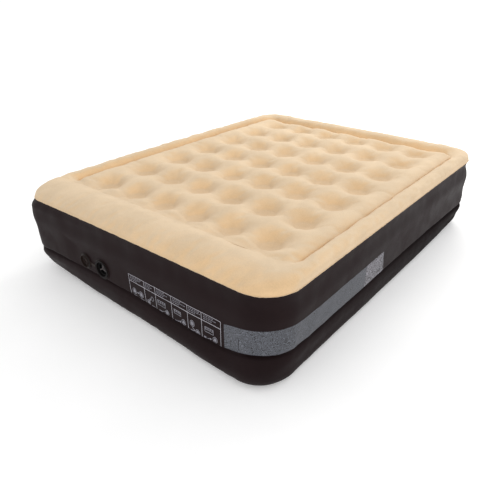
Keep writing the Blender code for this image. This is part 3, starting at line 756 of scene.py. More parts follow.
def graded(half, spacing=0.0102, lines=()):
    """Stations from -half to half, close together near both ends and at the lines."""
    last = END_STATIONS[-1]
    middle = np.linspace(-half + last, half - last,
                         int(round((half - last) * 2 / spacing)) + 1)
    at = np.concatenate([-half + END_STATIONS[:-1], middle, half - END_STATIONS[:-1][::-1]])
    for line in lines:
        at = np.concatenate([at[abs(at - line) > 0.0118], line + LINE_STATIONS])
    return np.sort(at)


def rounded_grid(xs, ys, half_x, half_y, less_radius):
    """Grid points of a rectangle, with its square corners bent to the bed's radii."""
    x, y = [a.ravel() for a in np.meshgrid(xs, ys, indexing="ij")]
    radius = corner_radius(x, y) - less_radius
    over_x = (abs(x) - (half_x - radius)) / radius
    over_y = (abs(y) - (half_y - radius)) / radius
    inside = (over_x > 0) & (over_y > 0)
    most = np.maximum(over_x, over_y)
    with np.errstate(divide="ignore", invalid="ignore"):
        angle = np.where(over_x >= over_y, math.pi / 4 * (over_y / over_x),
                         math.pi / 2 - math.pi / 4 * (over_x / over_y))
    bent_x = np.copysign(half_x - radius + radius * most * np.cos(angle), x)
    bent_y = np.copysign(half_y - radius + radius * most * np.sin(angle), y)
    return np.where(inside, bent_x, x), np.where(inside, bent_y, y)


def nearest_centre(x, y):
    """Offset of points from the nearest coil beam's axis, and its number."""
    i = np.clip(np.round(x / PITCH_X + (COLS - 1) / 2), 0, COLS - 1)
    j = np.clip(np.round((y - GRID_Y) / PITCH_Y + (ROWS - 1) / 2), 0, ROWS - 1)
    off_x = x - (i - (COLS - 1) / 2) * PITCH_X
    off_y = y - GRID_Y - (j - (ROWS - 1) / 2) * PITCH_Y
    return off_x, off_y, (j * COLS + i).astype(int)


def top_height(x, y):
    """Height of the top, and where its points lie.

    Also gives the distances in from the edge and from the crease, the polar place round
    the nearest beam and its number, and how soft the crease is.
    """
    edge = rounded_distance(x, y, HALF_X, -HALF_Y, HALF_Y, corner_radius(x, y))
    panel = rounded_distance(x, y, PANEL_X, PANEL_NEAR, PANEL_FAR, PANEL_R)
    near_end, right = step(-0.730, -0.800, y), step(0.600, 0.680, x)
    soft = np.maximum(near_end, 0.4 * right)
    wide = near_end * step(0, 1, (HALF_X - abs(x)) / 0.0875 - (y + HALF_Y) / 0.215)
    crease = CREASE_Z + (CREASE_RIGHT_Z - CREASE_Z) * right
    crease = crease + (CREASE_NEAR_Z - crease) * near_end
    # the tube rises from the lip to its crest and falls to the crease
    crest = CREST_AT + (CREST_NEAR_AT - CREST_AT) * wide
    lipped, out = np.maximum(edge - LIP, 0), np.maximum(-panel - WELD_LINE, 0)
    across = np.where(panel < 0, lipped / np.maximum(lipped + out, 1e-9), 1.0)
    t = 1 - np.minimum(across / crest, 1)
    rise = (1 - 0.5 * wide) * np.sqrt(1 - t * t) + 0.5 * wide * (1 - t * t)
    outer = SEAM_Z + 0.0012 + (CREST_Z - SEAM_Z - 0.0012) * rise
    t = np.clip((across - crest) / (1 - crest), 0, 1)
    fall = (1 - soft) * np.sqrt(1 - t * t) + soft * 0.5 * (1 + np.cos(math.pi * t))
    tube = np.where(across < crest, outer, crease + (CREST_Z - crease) * fall)
    # the panel rises from the crease and dips at every beam
    t = np.clip((panel - WELD_LINE) / SHOULDER, 0, 1)
    rise = (1 - soft) * np.sqrt(1 - (1 - t) ** 2) + soft * t * t * (3 - 2 * t)
    z = crease + (PANEL_Z - crease) * rise
    for _, _, beam_x, beam_y in CENTRES:
        square = (x - beam_x) ** 2 + (y - beam_y) ** 2
        z = z - DIMPLE_DEPTH * np.exp(-square / DIMPLE_SIGMA ** 2)
    off_x, off_y, number = nearest_centre(x, y)
    radius = np.hypot(off_x, off_y)
    # the round weld: a crease, and a slightly domed floor inside it
    z = (z - 0.0030 * bell(radius - WELD_R, 0.0055)
         + 0.0060 * np.clip(1 - (radius / WELD_R) ** 2, 0, 1))
    return (np.where(panel < 0, tube, z), edge, panel, radius, np.arctan2(off_y, off_x),
            number, soft)


def puckers(radius, angle, number, seed):
    """Small pleats that run out from each weld, different at every beam."""
    rng = np.random.default_rng(seed)
    out = np.zeros_like(radius)
    count = COLS * ROWS
    for pleats in (5, 7, 9, 12):
        phase = rng.uniform(0, TAU, count)[number]
        size = rng.uniform(0.3, 1.0, count)[number]
        out += size * np.cos(pleats * angle + phase)
    return out * step(0.030, 0.048, radius) * bell(np.maximum(radius - 0.050, 0), 0.030) / 2


def cloth_offsets():
    """Blow the slack sheet up between its welds, and return how far it moved on a grid.

    The sheet is held at the seam, along the crease and round every beam; elsewhere it
    is a little larger than its place, so it swells and pleats.
    """
    spacing, frames, most = 0.0118, 20, 0.0036
    count_x, count_y = (int(round(2 * half / spacing)) + 1 for half in (TOP_X, TOP_Y))
    x, y = rounded_grid(np.linspace(-TOP_X, TOP_X, count_x),
                        np.linspace(-TOP_Y, TOP_Y, count_y), TOP_X, TOP_Y, EDGE)
    z, edge, panel, radius, _, _, _ = top_height(x, y)
    start = shaped(x, y, z)
    mesh = bpy.data.meshes.new("slack_sheet")
    mesh.from_pydata(start.tolist(), [], grid_quads(count_x, count_y).tolist())
    ob = bpy.data.objects.new("slack_sheet", mesh)
    bpy.context.scene.collection.objects.link(ob)
    held = np.nonzero((edge < 0.006) | (abs(panel) < 0.0065) | (radius < WELD_R + 0.005))[0]
    ob.vertex_groups.new(name="held").add(held.tolist(), 1.0, "REPLACE")
    cloth = ob.modifiers.new("cloth", "CLOTH")
    sheet = cloth.settings
    sheet.quality, sheet.mass, sheet.air_damping = 6, 0.35, 2.0
    sheet.tension_stiffness = sheet.compression_stiffness = 28
    sheet.shear_stiffness, sheet.bending_stiffness = 12, 0.25
    sheet.use_pressure, sheet.uniform_pressure_force = True, 3.5
    sheet.shrink_min = -0.013               # negative: the sheet is larger than its place
    sheet.vertex_group_mass, sheet.pin_stiffness = "held", 1.0
    sheet.effector_weights.gravity = 0.0
    cloth.point_cache.frame_start, cloth.point_cache.frame_end = 1, frames
    scene = bpy.context.scene
    for k in range(1, frames + 1):
        scene.frame_set(k)
    blown = ob.evaluated_get(bpy.context.evaluated_depsgraph_get()).to_mesh()
    end = np.empty(len(start) * 3)
    blown.vertices.foreach_get("co", end)
    moved = end.reshape(-1, 3) - start
    scene.frame_set(1)
    bpy.data.objects.remove(ob, do_unlink=True)
    bpy.data.meshes.remove(mesh)
    far = np.linalg.norm(moved, axis=1)
    moved *= (most * np.tanh(far / most) / np.maximum(far, 1e-9))[:, None]
    return moved.reshape(count_x, count_y, 3)


def cubic(grid, at, axis):
    """Values of an evenly spaced grid between its points, by cubic convolution."""
    count = grid.shape[axis]
    i = np.clip(np.floor(at).astype(int), 0, count - 2)
    t = at - i
    weights = (-0.5 * t + t ** 2 - 0.5 * t ** 3, 1 - 2.5 * t ** 2 + 1.5 * t ** 3,
               0.5 * t + 2 * t ** 2 - 1.5 * t ** 3, -0.5 * t ** 2 + 0.5 * t ** 3)
    shape = [1] * grid.ndim
    shape[axis] = -1
    return sum(np.take(grid, np.clip(i + k - 1, 0, count - 1), axis)
               * weights[k].reshape(shape) for k in range(4))


stations_x = graded(TOP_X, lines=(-PANEL_X, PANEL_X))
stations_y = graded(TOP_Y, lines=(PANEL_NEAR, PANEL_FAR))
x, y = rounded_grid(stations_x, stations_y, TOP_X, TOP_Y, EDGE)
z, edge, panel, radius, angle, number, soft = top_height(x, y)
points = shaped(x, y, z)
quads = grid_quads(len(stations_x), len(stations_y))
swell = cloth_offsets()
swell = cubic(swell, (stations_x + TOP_X) / (2 * TOP_X) * (swell.shape[0] - 1), 0)
swell = cubic(swell, (stations_y + TOP_Y) / (2 * TOP_Y) * (swell.shape[1] - 1), 1)
points = points + swell.reshape(-1, 3) * step(0.0, 0.006, edge - 0.001)[:, None]

# loose cloth: pleats at the welds, soft waves on the crowns, tucks along the tube
ROUND = 7.1             # length given to the loop round the tube
around = np.arctan2(y / HALF_Y, x / HALF_X) / TAU * ROUND
loose = 0.0012 * puckers(radius, angle, number, seed=11) * step(0.0, 0.010, panel)
loose += 0.0010 * sheet_noise(x, y, wave=0.150, seed=5) * step(0.02, 0.08, radius)
loose += 0.0004 * sheet_noise(x, y, wave=0.050, seed=6) * step(0.03, 0.08, radius)
loose += (0.0004 * band_noise(around, ROUND, waves=(0.045, 0.16), seed=21)
          * bell(panel, 0.018) * step(0.001, 0.006, abs(panel)) * (1 - soft))
loose += (0.0004 * band_noise(around, ROUND, waves=(0.05, 0.22), seed=22)
          * bell(edge - 0.012, 0.014))
loose += (0.0005 * band_noise(around, ROUND, waves=(0.25, 0.9), seed=23)
          * bell(edge - 0.09, 0.06) * (panel < 0))
loose *= step(0.0, 0.010, edge - LIP)
points = points + normals_of(points, quads) * loose[:, None]

# painted shade: darker, warmer colour in the dimples, along the crease and at the edge, where
# shade falls
hollow_shade = 0.60 * np.clip((PANEL_Z - z) / DIMPLE_DEPTH, 0, 1) * (panel > 0)
crease = np.where(panel < 0, bell(panel, 0.030), bell(panel, 0.012))
painted_shade = np.maximum(hollow_shade, 0.9 * crease * (1 - 0.9 * np.maximum(soft, step(0.60, 0.66, x))))
painted_shade = np.maximum(painted_shade, 0.30 * bell(edge - 0.006, 0.006))
fit(build("flocked_top", *shell(points, quads, 0.0009), flock,
          values={"painted_shade": np.concatenate([painted_shade, painted_shade])}), "top_sheet", "top")


# -------------------------------------------------------------------- side wall
def rounded_loop(half_x, y_near, y_far, radii, start_x, side_steps, arc_steps):
    """Anticlockwise loop from (start_x, y_near), how far round its points are, its length.

    A fifth side closes a loop that starts in the middle of its first side.
    """
    points, flow, length = [], [], 0.0
    here = start = np.array([start_x, y_near])
    for k, steps in enumerate(side_steps):
        end = start
        if k < 4:
            side_x, side_y = CORNERS[k][:2]
            radius, turn = radii[k], (k - 1) * math.pi / 2
            centre = np.array([side_x * (half_x - radius),
                               y_near + radius if side_y < 0 else y_far - radius])
            end = centre + radius * np.array([math.cos(turn), math.sin(turn)])
        share = np.arange(steps) / steps
        side = math.hypot(*(end - here))
        points.append(here + (end - here) * share[:, None])
        flow.append(length + side * share)
        length += side
        if k < 4:
            share = np.arange(arc_steps) / arc_steps
            angle = turn + share * math.pi / 2
            points.append(centre + radius * np.stack([np.cos(angle), np.sin(angle)], 1))
            flow.append(length + radius * math.pi / 2 * share)
            length += radius * math.pi / 2
            here = centre + radius * np.array([math.cos(turn + math.pi / 2),
                                               math.sin(turn + math.pi / 2)])
    return np.concatenate(points), np.concatenate(flow), length


def outline(inset):
    """Loop of the bed's outline from the middle of the -Y side."""
    return rounded_loop(HALF_X - inset, -(HALF_Y - inset), HALF_Y - inset,
                        [corner[2] for corner in CORNERS], 0.0,
                        side_steps=(54, 150, 108, 150, 54), arc_steps=24)


LOOP, FLOW, LENGTH = outline(0.0)
heights, insets = np.array(WALL).T
run = np.concatenate([[0], np.cumsum(np.hypot(np.diff(heights), np.diff(insets)))])
height_at, inset_at = smooth_curve(run, heights), smooth_curve(run, insets)
inset_of_height = smooth_curve(heights, insets)
levels = np.unique(np.concatenate([
    np.linspace(0, run[-1], 58),
    run[WAIST_ROW] + np.array([-0.012, -0.008, -0.005, -0.0025, 0, 0.0025, 0.005, 0.008,
                               0.012])]))


def wall_slack(flow, x, y, z):
    """How far the wall stands out of its regular form: pleats and soft waves."""
    def wave(at, waves, seed):
        return band_noise(at, LENGTH, waves, seed)

    corner = sum(near(x, y, k, 0.24) for k in range(4))
    # calmer round the valve and on the right side
    calm = (1 - 0.9 * pad(x, y, z)
            - 0.6 * step(-0.42, -0.36, x) * step(-0.06, -0.12, x) * (y < -0.9)
            * step(0.10, 0.13, z) * step(0.29, 0.26, z))
    calm = calm * (1 - 0.55 * step(0.60, 0.74, x))
    under = SEAM_Z - z
    # pleats under the seam
    out = 0.00025 * wave(flow, (0.028, 0.085), seed=31) * bell(under - 0.020, 0.018)
    out += 0.0006 * wave(flow, (0.08, 0.25), seed=32) * bell(under - 0.045, 0.035)
    # folds on both sides of the waist
    above, below = np.maximum(z - WAIST_Z, 0), np.maximum(WAIST_Z - z, 0)
    fold = (step(0.002, 0.014, above) * bell(above, 0.045) * (z > WAIST_Z)
            + step(0.002, 0.012, below) * bell(below, 0.040) * (z <= WAIST_Z))
    out += (0.0003 + 0.0006 * corner) * wave(flow, (0.035, 0.12), seed=33) * fold
    # slanting waves over the whole wall
    out += 0.0010 * wave(flow + 0.35 * z, (0.25, 0.9), seed=34) * step(0.02, 0.08, under)
    out += ((0.0002 + 0.0007 * corner) * wave(flow - 0.6 * z, (0.10, 0.30), seed=35)
            * step(0.01, 0.07, under))
    # ripples at the foot
    out += 0.0004 * wave(flow, (0.05, 0.16), seed=36) * bell(z - 0.012, 0.022)
    tuck = near(x, y, FAR_RIGHT, 0.20) * (0.0105 * bell(under - 0.034, 0.020)
                                          + 0.0035 * bell(z - 0.158, 0.018))
    return (out * calm - tuck) * step(0.0, 0.012, under)


rings = []
for level in levels:
    z = float(height_at(level))
    x, y = outline(float(inset_at(level)))[0].T
    ring = shaped(x, y, z)
    flat = pad(x, y, z)
    ring[:, 1] = ring[:, 1] * (1 - flat) + PORT_Y * flat
    rings.append(ring)
points = np.stack(rings, 1).reshape(-1, 3)
quads = grid_quads(len(LOOP), len(levels), wrap_rows=True)
slack = wall_slack(np.repeat(FLOW, len(levels)), *np.repeat(LOOP, len(levels), axis=0).T,
                   np.tile(height_at(levels), len(LOOP)))
points = points - normals_of(points, quads) * slack[:, None]
quads = quads[:, ::-1]
# the bottom of the wall never goes under the floor
points[:, 2] = np.maximum(points[:, 2], 0.0012)


def from_port(at):
    away = np.hypot(at[:, 0] - PORT_X, at[:, 2] - PORT_Z)
    return np.where(at[:, 1] < -0.9, away, np.inf)


quads = cut_hole(points, quads, (PORT_X, PORT_Y, PORT_Z), 0, from_port, cut=0.0445,
                 reach=0.065, radius=0.0425)
points, quads = compact(points, quads)
wall = fit(build("vinyl_wall", *shell(points, quads, 0.0008), vinyl),
           "side_wall", "envelope")
WALL_TREE = BVHTree.FromPolygons(points.tolist(), quads.tolist())


# ------------------------------------------------------------------ weld flange
def ring_body(name, rings, mat):
    """Closed ring from loops laid round its section."""
    quads = grid_quads(len(LOOP), len(rings), wrap_rows=True, wrap_cols=True)
    return build(name, np.stack(rings, 1).reshape(-1, 3), quads[:, ::-1], mat)


# flat welded lip where the top meets the wall, a little wavy along its edge
FLANGE = (              # inset, height from its middle
    (0.0120, 0.0006), (0.0060, 0.0008), (0.0020, 0.0008), (0.0006, 0.0005),
    (0.0000, 0.0000), (0.0006, -0.0005), (0.0020, -0.0008), (0.0060, -0.0008),
    (0.0120, -0.0006),
)
wave = band_noise(FLOW, LENGTH, waves=(0.018, 0.06), seed=41) * 0.0004
lift = band_noise(FLOW, LENGTH, waves=(0.05, 0.20), seed=42) * 0.0005
rings = []
for inset, height in FLANGE:
    loop = outline(inset)[0]
    share = np.clip(1 - inset / 0.006, 0, 1)
    ring = shaped(*loop.T, SEAM_Z)
    out = loop / np.linalg.norm(loop, axis=1)[:, None]
    ring[:, :2] += out * (wave * share)[:, None]
    ring[:, 2] += -0.0007 + height + lift * share
    rings.append(ring)
fit(ring_body("seam_flange", rings, flange_mat), "top_seam", "top")


# ------------------------------------------------------------------------- base
# how much of the corners' lift the base follows, by distance in from the outline
base_share = smooth_curve((0.0, FOOT_INSET, 0.085, 0.190), (1.0, 1.0, 0.30, 0.0))
base_x, base_y = HALF_X - FOOT_INSET, HALF_Y - FOOT_INSET
stations_x, stations_y = graded(base_x, 0.014), graded(base_y, 0.014)
x, y = rounded_grid(stations_x, stations_y, base_x, base_y, 0.0001)
points = shaped(x, y, 0.0)
inwards = rounded_distance(x, y, base_x, -base_y, base_y, corner_radius(x, y))
points[:, 2] *= base_share(inwards + FOOT_INSET)
quads = grid_quads(len(stations_x), len(stations_y))[:, ::-1]
fit(build("base_panel", *shell(points, quads, 0.0006), base_mat),
    "base_sheet", "envelope")

# weld ring that joins the wall's foot to the base
BASE_WELD = (           # inset, height from its middle
    (0.0430, 0.0), (0.0450, -0.0002), (0.0560, -0.0002), (0.0690, -0.0002),
    (0.0700, 0.0), (0.0690, 0.0004), (0.0560, 0.0004), (0.0450, 0.0004),
)
rings = []
for inset, height in BASE_WELD:
    ring = shaped(*outline(inset)[0].T, 0.0)
    ring[:, 2] = ring[:, 2] * base_share(inset) + 0.0014 + height
    rings.append(ring)
fit(ring_body("base_weld_ring", rings, vinyl), "base_seam", "envelope")


# ----------------------------------------------------------------------- inside
# coil beams: thin tubes with welded cuffs and a rippled, slightly waisted middle
for row, column, beam_x, beam_y in CENTRES:
    low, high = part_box(f"coil_beam_r{row}c{column}")
    bottom, top = low.z, high.z - 0.008
    outer = [(BEAM_R, bottom), (BEAM_R, bottom + 0.012), (BEAM_R - 0.0010, bottom + 0.020)]
    for k in range(1, 12):
        t = k / 12
        outer.append((BEAM_R - 0.0012 - 0.0012 * math.sin(t * math.pi)
                      + 0.0004 * math.cos(t * 9.5 * TAU),
                      bottom + 0.020 + (top - bottom - 0.040) * t))
    outer += [(BEAM_R - 0.0010, top - 0.020), (BEAM_R, top - 0.012), (BEAM_R, top)]
    points, faces = turned(outer + [(r - 0.0008, z) for r, z in reversed(outer)], 40)
    points[:, 0] += beam_x
    points[:, 1] += beam_y
    tube = fit(build(f"coil_tube_r{row}c{column}", points, faces, inner_mat),
               f"coil_beam_r{row}c{column}", "envelope")
    flatten(tube)

# upright partition under the crease, with a round vent in each side
WEB_INSET, VENT_Z = 0.0020, 0.30
low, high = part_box("border_web")
web_r = PANEL_R - WEB_INSET
loop = rounded_loop(PANEL_X - WEB_INSET, PANEL_NEAR + WEB_INSET, PANEL_FAR - WEB_INSET,
                    [web_r] * 4, -(PANEL_X - WEB_INSET) + web_r,
                    side_steps=(60, 80, 60, 80), arc_steps=10)[0]
heights = np.linspace(low.z, high.z, 31)
points = np.array([(x, y, z) for x, y in loop for z in heights])
quads = grid_quads(len(loop), len(heights), wrap_rows=True)
# vents: x, y, axis across the vent
for x, y, side in ((0.0, PANEL_NEAR, 0), (0.0, PANEL_FAR, 0), (PANEL_X, GRID_Y, 1),
                   (-PANEL_X, GRID_Y, 1)):
    centre = np.array([x, y, VENT_Z])
    quads = cut_hole(points, quads, centre, side,
                     lambda at: np.linalg.norm(at - centre, axis=1),
                     cut=0.042, reach=0.075, radius=0.040)
web = fit(build("border_partition", *shell(*compact(points, quads), 0.0006), inner_mat),
          "border_web", "envelope")
flatten(web)

# flat partition at the waist, from the wall to the upright one, notched at the valve
loop = outline(float(inset_of_height(WAIST_Z)) + 0.0020)[0]
outer = shaped(*loop.T, WAIST_Z)
notch = step(-0.365, -0.300, loop[:, 0]) * step(-0.080, -0.130, loop[:, 0])
outer[:, 1] += 0.060 * (notch * (loop[:, 1] < -0.9))
core_x = PANEL_X + 0.001 - PANEL_R
core = np.clip(outer[:, :2], (-core_x, PANEL_NEAR - 0.001 + PANEL_R),
               (core_x, PANEL_FAR + 0.001 - PANEL_R))
away = outer[:, :2] - core
inner = np.full_like(outer, WAIST_Z)
inner[:, :2] = core + away / np.hypot(away[:, 0], away[:, 1])[:, None] * PANEL_R
sags = (0, -0.0008, -0.0014, -0.0016, -0.0014, -0.0008, 0)
rings = [outer + (inner - outer) * t + np.array([0, 0, sag])
         for t, sag in zip(np.linspace(0, 1, 7), sags)]
points = np.stack(rings, 1).reshape(-1, 3)
quads = grid_quads(len(outer), 7, wrap_rows=True)
web = fit(build("waist_partition", *shell(points, quads, 0.0006), inner_mat),
          "waist_web", "envelope")
flatten(web)
flatten(wall)


# -------------------------------------------------------- printing on the wall
# prints are drawn in (along, z): along is x on the -Y side, then runs on round the near
# right corner and up the +X side
TURN_R = CORNERS[NEAR_RIGHT][2]
TURN_START = HALF_X - TURN_R
TURN_END = TURN_START + TURN_R * math.pi / 2
PRINT_STEP = 0.006      # longest piece of a stroke


def on_wall(along, z):
    """Place on the wall before its slack."""
    along, z = np.asarray(along, float), np.asarray(z, float)
    inset = inset_of_height(z)
    angle = np.clip((along - TURN_START) / TURN_R, 0, math.pi / 2)
    half_x, half_y = HALF_X - inset, HALF_Y - inset
    x = np.where(along < TURN_START, along, half_x - TURN_R + TURN_R * np.sin(angle))
    y = (np.where(along < TURN_START, -half_y, -half_y + TURN_R - TURN_R * np.cos(angle))
         + np.maximum(along - TURN_END, 0))
    return shaped(x, y, z)


def pressed(along, z, proud):
    """Points on the finished wall, standing proud of it by that much."""
    near_by = 0.002
    points = on_wall(along, z)
    normals = np.cross(on_wall(along + near_by, z) - on_wall(along - near_by, z),
                       on_wall(along, z + near_by) - on_wall(along, z - near_by))
    normals /= np.linalg.norm(normals, axis=1)[:, None]
    out = points.copy()
    for k, (point, normal) in enumerate(zip(points, normals)):
        hit = WALL_TREE.ray_cast(Vector(point + normal * 0.04), Vector(-normal))[0]
        if hit is not None:
            out[k] = np.array(hit)
    return out + normals * proud


class Print:
    """Flat shapes in (along, z), pressed on the wall as one thin closed film."""

    def __init__(self):
        self.points, self.quads = [], []

    def patch(self, rows):
        quads = grid_quads(len(rows), len(rows[0])) + len(self.points)
        self.quads += quads.tolist()
        for row in rows:
            self.points += [tuple(point) for point in row]

    def bar(self, start, end, width):
        start, end = np.array(start, float), np.array(end, float)
        span = end - start
        length = math.hypot(*span)
        steps = max(1, int(math.ceil(length / PRINT_STEP)))
        side = np.array([-span[1], span[0]]) / length * width / 2
        middles = [start + span * (k / steps) for k in range(steps + 1)]
        self.patch([(middle - side, middle + side) for middle in middles])

    def trail(self, stops, width):
        for start, end in zip(stops, stops[1:]):
            self.bar(start, end, width)

    def block(self, left, low, right, high):
        across = max(1, int(math.ceil(abs(right - left) / PRINT_STEP)))
        tall = max(1, int(math.ceil(abs(high - low) / PRINT_STEP)))
        self.patch([[(left + (right - left) * i / across, low + (high - low) * j / tall)
                     for j in range(tall + 1)] for i in range(across + 1)])

    def ring(self, along, z, radius, width, steps=28):
        rows = []
        for k in range(steps + 1):
            angle = TAU * k / steps
            rows.append([(along + r * math.cos(angle), z + r * math.sin(angle))
                         for r in (radius - width / 2, radius + width / 2)])
        self.patch(rows)

    def disc(self, along, z, radius):
        self.ring(along, z, radius / 2 + 0.0001, radius - 0.0002)

    def arrow(self, start, end, width=0.0022, head=0.008):
        start, end = np.array(start), np.array(end)
        ahead = (end - start) / math.hypot(*(end - start))
        side = np.array([ahead[1], -ahead[0]])
        self.bar(start, end - ahead * head * 0.8, width)
        rows = []
        for t, share in ((0.0, 1.0), (0.5, 0.5), (0.97, 0.03)):
            middle, out = end - ahead * head * (1 - t), side * head * 0.6 * share
            rows.append((middle + out, middle - out))
        self.patch(rows)

    def film(self, name, mat, proud):
        flat, quads = np.array(self.points), np.array(self.quads)
        # every face of a stroke looks out of the wall
        a, b, c = (flat[quads[:, k]] for k in range(3))
        turn = ((b[:, 0] - a[:, 0]) * (c[:, 1] - a[:, 1])
                - (b[:, 1] - a[:, 1]) * (c[:, 0] - a[:, 0]))
        quads = np.where((turn < 0)[:, None], quads[:, ::-1], quads)
        points = pressed(flat[:, 0], flat[:, 1], proud)
        ob = fit(build(name, *shell(points, quads, 0.00015), mat), None, "envelope")
        flatten(ob)


# rules of the printed panel
COLUMNS = (0.0025, 0.101, 0.171, 0.267, 0.360, 0.436, 0.534)
TOP_LINE, HEAD_LINE, LOW_LINE = 0.2405, 0.2105, 0.1405
lines = Print()
for along in COLUMNS:
    lines.bar((along, LOW_LINE), (along, TOP_LINE), 0.0016)
lines.bar((COLUMNS[0] - 0.0008, TOP_LINE), (COLUMNS[-1] + 0.0008, TOP_LINE), 0.0018)
lines.bar((COLUMNS[0], HEAD_LINE), (COLUMNS[-1], HEAD_LINE), 0.0016)
lines.film("panel_rules", ink, proud=0.00025)

# heads: three rows of short plain strokes in place of words; z, share of the column
heads = Print()
rng = np.random.default_rng(77)
for left, right in zip(COLUMNS, COLUMNS[1:]):
    width = right - left
    for z, share in ((0.2330, 0.62), (0.2258, 0.74), (0.2186, 0.46)):
        share *= rng.uniform(0.85, 1.1)
        along = left + width * 0.10
        while along < left + width * 0.10 + width * share - 0.004:
            end = min(along + rng.uniform(0.006, 0.013), left + width * 0.92)
            heads.bar((along, z), (end, z), 0.0026)
            along = end + 0.0030
heads.film("panel_heads", ink_soft, proud=0.00028)

# step pictures: valves, arrows, a bed's outline, plain tones
art, tone = Print(), Print()


def valve_sign(along, z, radius=0.011):
    art.ring(along, z, radius, 0.0016)
    tone.disc(along, z, radius * 0.62)
    for k in range(3):
        angle = math.pi / 2 + k * TAU / 3
        art.bar((along, z), (along + radius * math.cos(angle),
                             z + radius * math.sin(angle)), 0.0014)


def bed_sign(along, z, width, height):
    left, right = along - width / 2, along + width / 2
    low, high = z - height / 2, z + height / 2
    art.trail([(left, low), (right, low), (right, high), (left, high), (left, low)], 0.0015)
    art.bar((left, z), (right, z), 0.0011)
    for k in range(4):
        tone.disc(left + (k + 0.5) * width / 4, z + height / 4, 0.0026)


valve_sign(0.030, 0.170, 0.013)
valve_sign(0.074, 0.170, 0.013)
art.arrow((0.046, 0.170), (0.060, 0.170))
tone.block(0.022, 0.1435, 0.040, 0.1500)
tone.block(0.064, 0.1435, 0.088, 0.1500)
valve_sign(0.122, 0.158, 0.010)
art.arrow((0.138, 0.180), (0.128, 0.168))
art.ring(0.148, 0.182, 0.008, 0.0015)
tone.bar((0.140, 0.150), (0.160, 0.150), 0.0034)
bed_sign(0.205, 0.184, 0.046, 0.018)
art.ring(0.236, 0.160, 0.010, 0.0016)
tone.disc(0.236, 0.160, 0.0068)
art.trail([(0.226, 0.160), (0.212, 0.156), (0.200, 0.146)], 0.0016)
tone.block(0.186, 0.1430, 0.204, 0.1530)
bed_sign(0.300, 0.186, 0.040, 0.014)
valve_sign(0.334, 0.162)
art.arrow((0.300, 0.152), (0.320, 0.158))
tone.bar((0.280, 0.1480), (0.300, 0.1480), 0.0034)
art.ring(0.384, 0.178, 0.011, 0.0017)
tone.disc(0.384, 0.178, 0.0078)
art.arrow((0.384, 0.164), (0.398, 0.150))
art.ring(0.412, 0.152, 0.012, 0.0017)
tone.disc(0.412, 0.152, 0.0085)
tone.block(0.372, 0.1440, 0.390, 0.1520)
bed_sign(0.474, 0.184, 0.044, 0.016)
valve_sign(0.504, 0.160)
art.arrow((0.462, 0.150), (0.486, 0.156))
tone.block(0.446, 0.1440, 0.458, 0.1560)
art.film("panel_pictures", ink_dim, proud=0.00030)
tone.film("panel_tones", ink_soft, proud=0.00026)

BAND = np.array((       # along, top, bottom
    (0.551, 0.2400, 0.1420), (0.600, 0.2525, 0.1420), (0.660, 0.2620, 0.1420),
    (0.730, 0.2680, 0.1425), (0.800, 0.2690, 0.1425), (0.860, 0.2655, 0.1425),
    (0.930, 0.2600, 0.1420), (1.050, 0.2580, 0.1420), (1.300, 0.2605, 0.1420),
    (1.600, 0.2605, 0.1420),
))
band_top, band_low = smooth_curve(BAND[:, 0], BAND[:, 1]), smooth_curve(BAND[:, 0], BAND[:, 2])


def band(name, start, end, mat, slant=0.0):
    """Printed band; slant leans its far end over."""
    steps, tall = int((end - start) / 0.0045), 27
    rows = []
    for i in range(steps + 1):
        along = start + (end - start) * (i / steps)
        top, low = float(band_top(along)), float(band_low(along))
        lean = float(step(end - 0.12, end, along))
        rows.append([(along - slant * (j / tall - 0.5) * lean, low + (top - low) * (j / tall))
                     for j in range(tall + 1)])
    sheet = Print()
    sheet.patch(rows)
    sheet.film(name, mat, proud=0.00040)


def along_side(y):
    return TURN_END + y + HALF_Y - TURN_R


band("band_print", BAND[0, 0], along_side(-0.343), band_mat)
band("band_print_end", along_side(-0.3415), along_side(-0.164), band_bold, slant=0.026)


# ------------------------------------------------------------------------ valve
# profiles are (radius, distance out of the wall)
def turned_piece(name, profile, steps, mat, sharp, replaces, ride, x=PORT_X,
                 wobble=None):
    points, faces = turned(profile, steps, wobble)
    fit(build(name, out_of_wall(points, x), faces, mat, sharp), replaces, ride)


def flutes(angle, count, depth):
    return -depth * (0.5 + 0.5 * math.cos(angle * count))


turned_piece("valve_patch_disc", fillet([
    (0.0495, 0.0003), (0.0495, 0.0012), (0.0480, 0.0017), (0.0462, 0.0015),
    (0.0455, 0.0018), (0.0405, 0.0018), (0.0405, 0.0003)], 0.0003, 2),
    96, patch_mat, 40, "valve_patch", "valve")


def lip_grip(angle, radius, z):
    """Fine grip flutes round the outside of the lip."""
    return flutes(angle, 60, 0.00035) if radius > 0.0450 and 0.0030 < z < 0.0064 else 0.0


neck_profile = fillet([
    (0.0380, -0.0300), (0.0385, -0.0040), (0.0397, 0.0021), (0.0455, 0.0021),
    (0.0455, 0.0068), (0.0447, 0.0080), (0.0432, 0.0080), (0.0426, 0.0072),
    (0.0385, 0.0072), (0.0379, 0.0080), (0.0362, 0.0080), (0.0350, 0.0066),
    (0.0350, -0.0010), (0.0354, -0.0016), (0.0350, -0.0022), (0.0350, -0.0300)], 0.0005)
# more points up the lip, where the flutes start and end
upper = next(i for i, (r, z) in enumerate(neck_profile) if r > 0.0450 and z > 0.0050)
neck_profile[upper:upper] = [(0.0455, z) for z in (0.0034, 0.0038, 0.0058, 0.0062)]
turned_piece("valve_neck_ring", neck_profile, 240, neck_plastic, 35, "valve_neck",
             "valve", wobble=lip_grip)

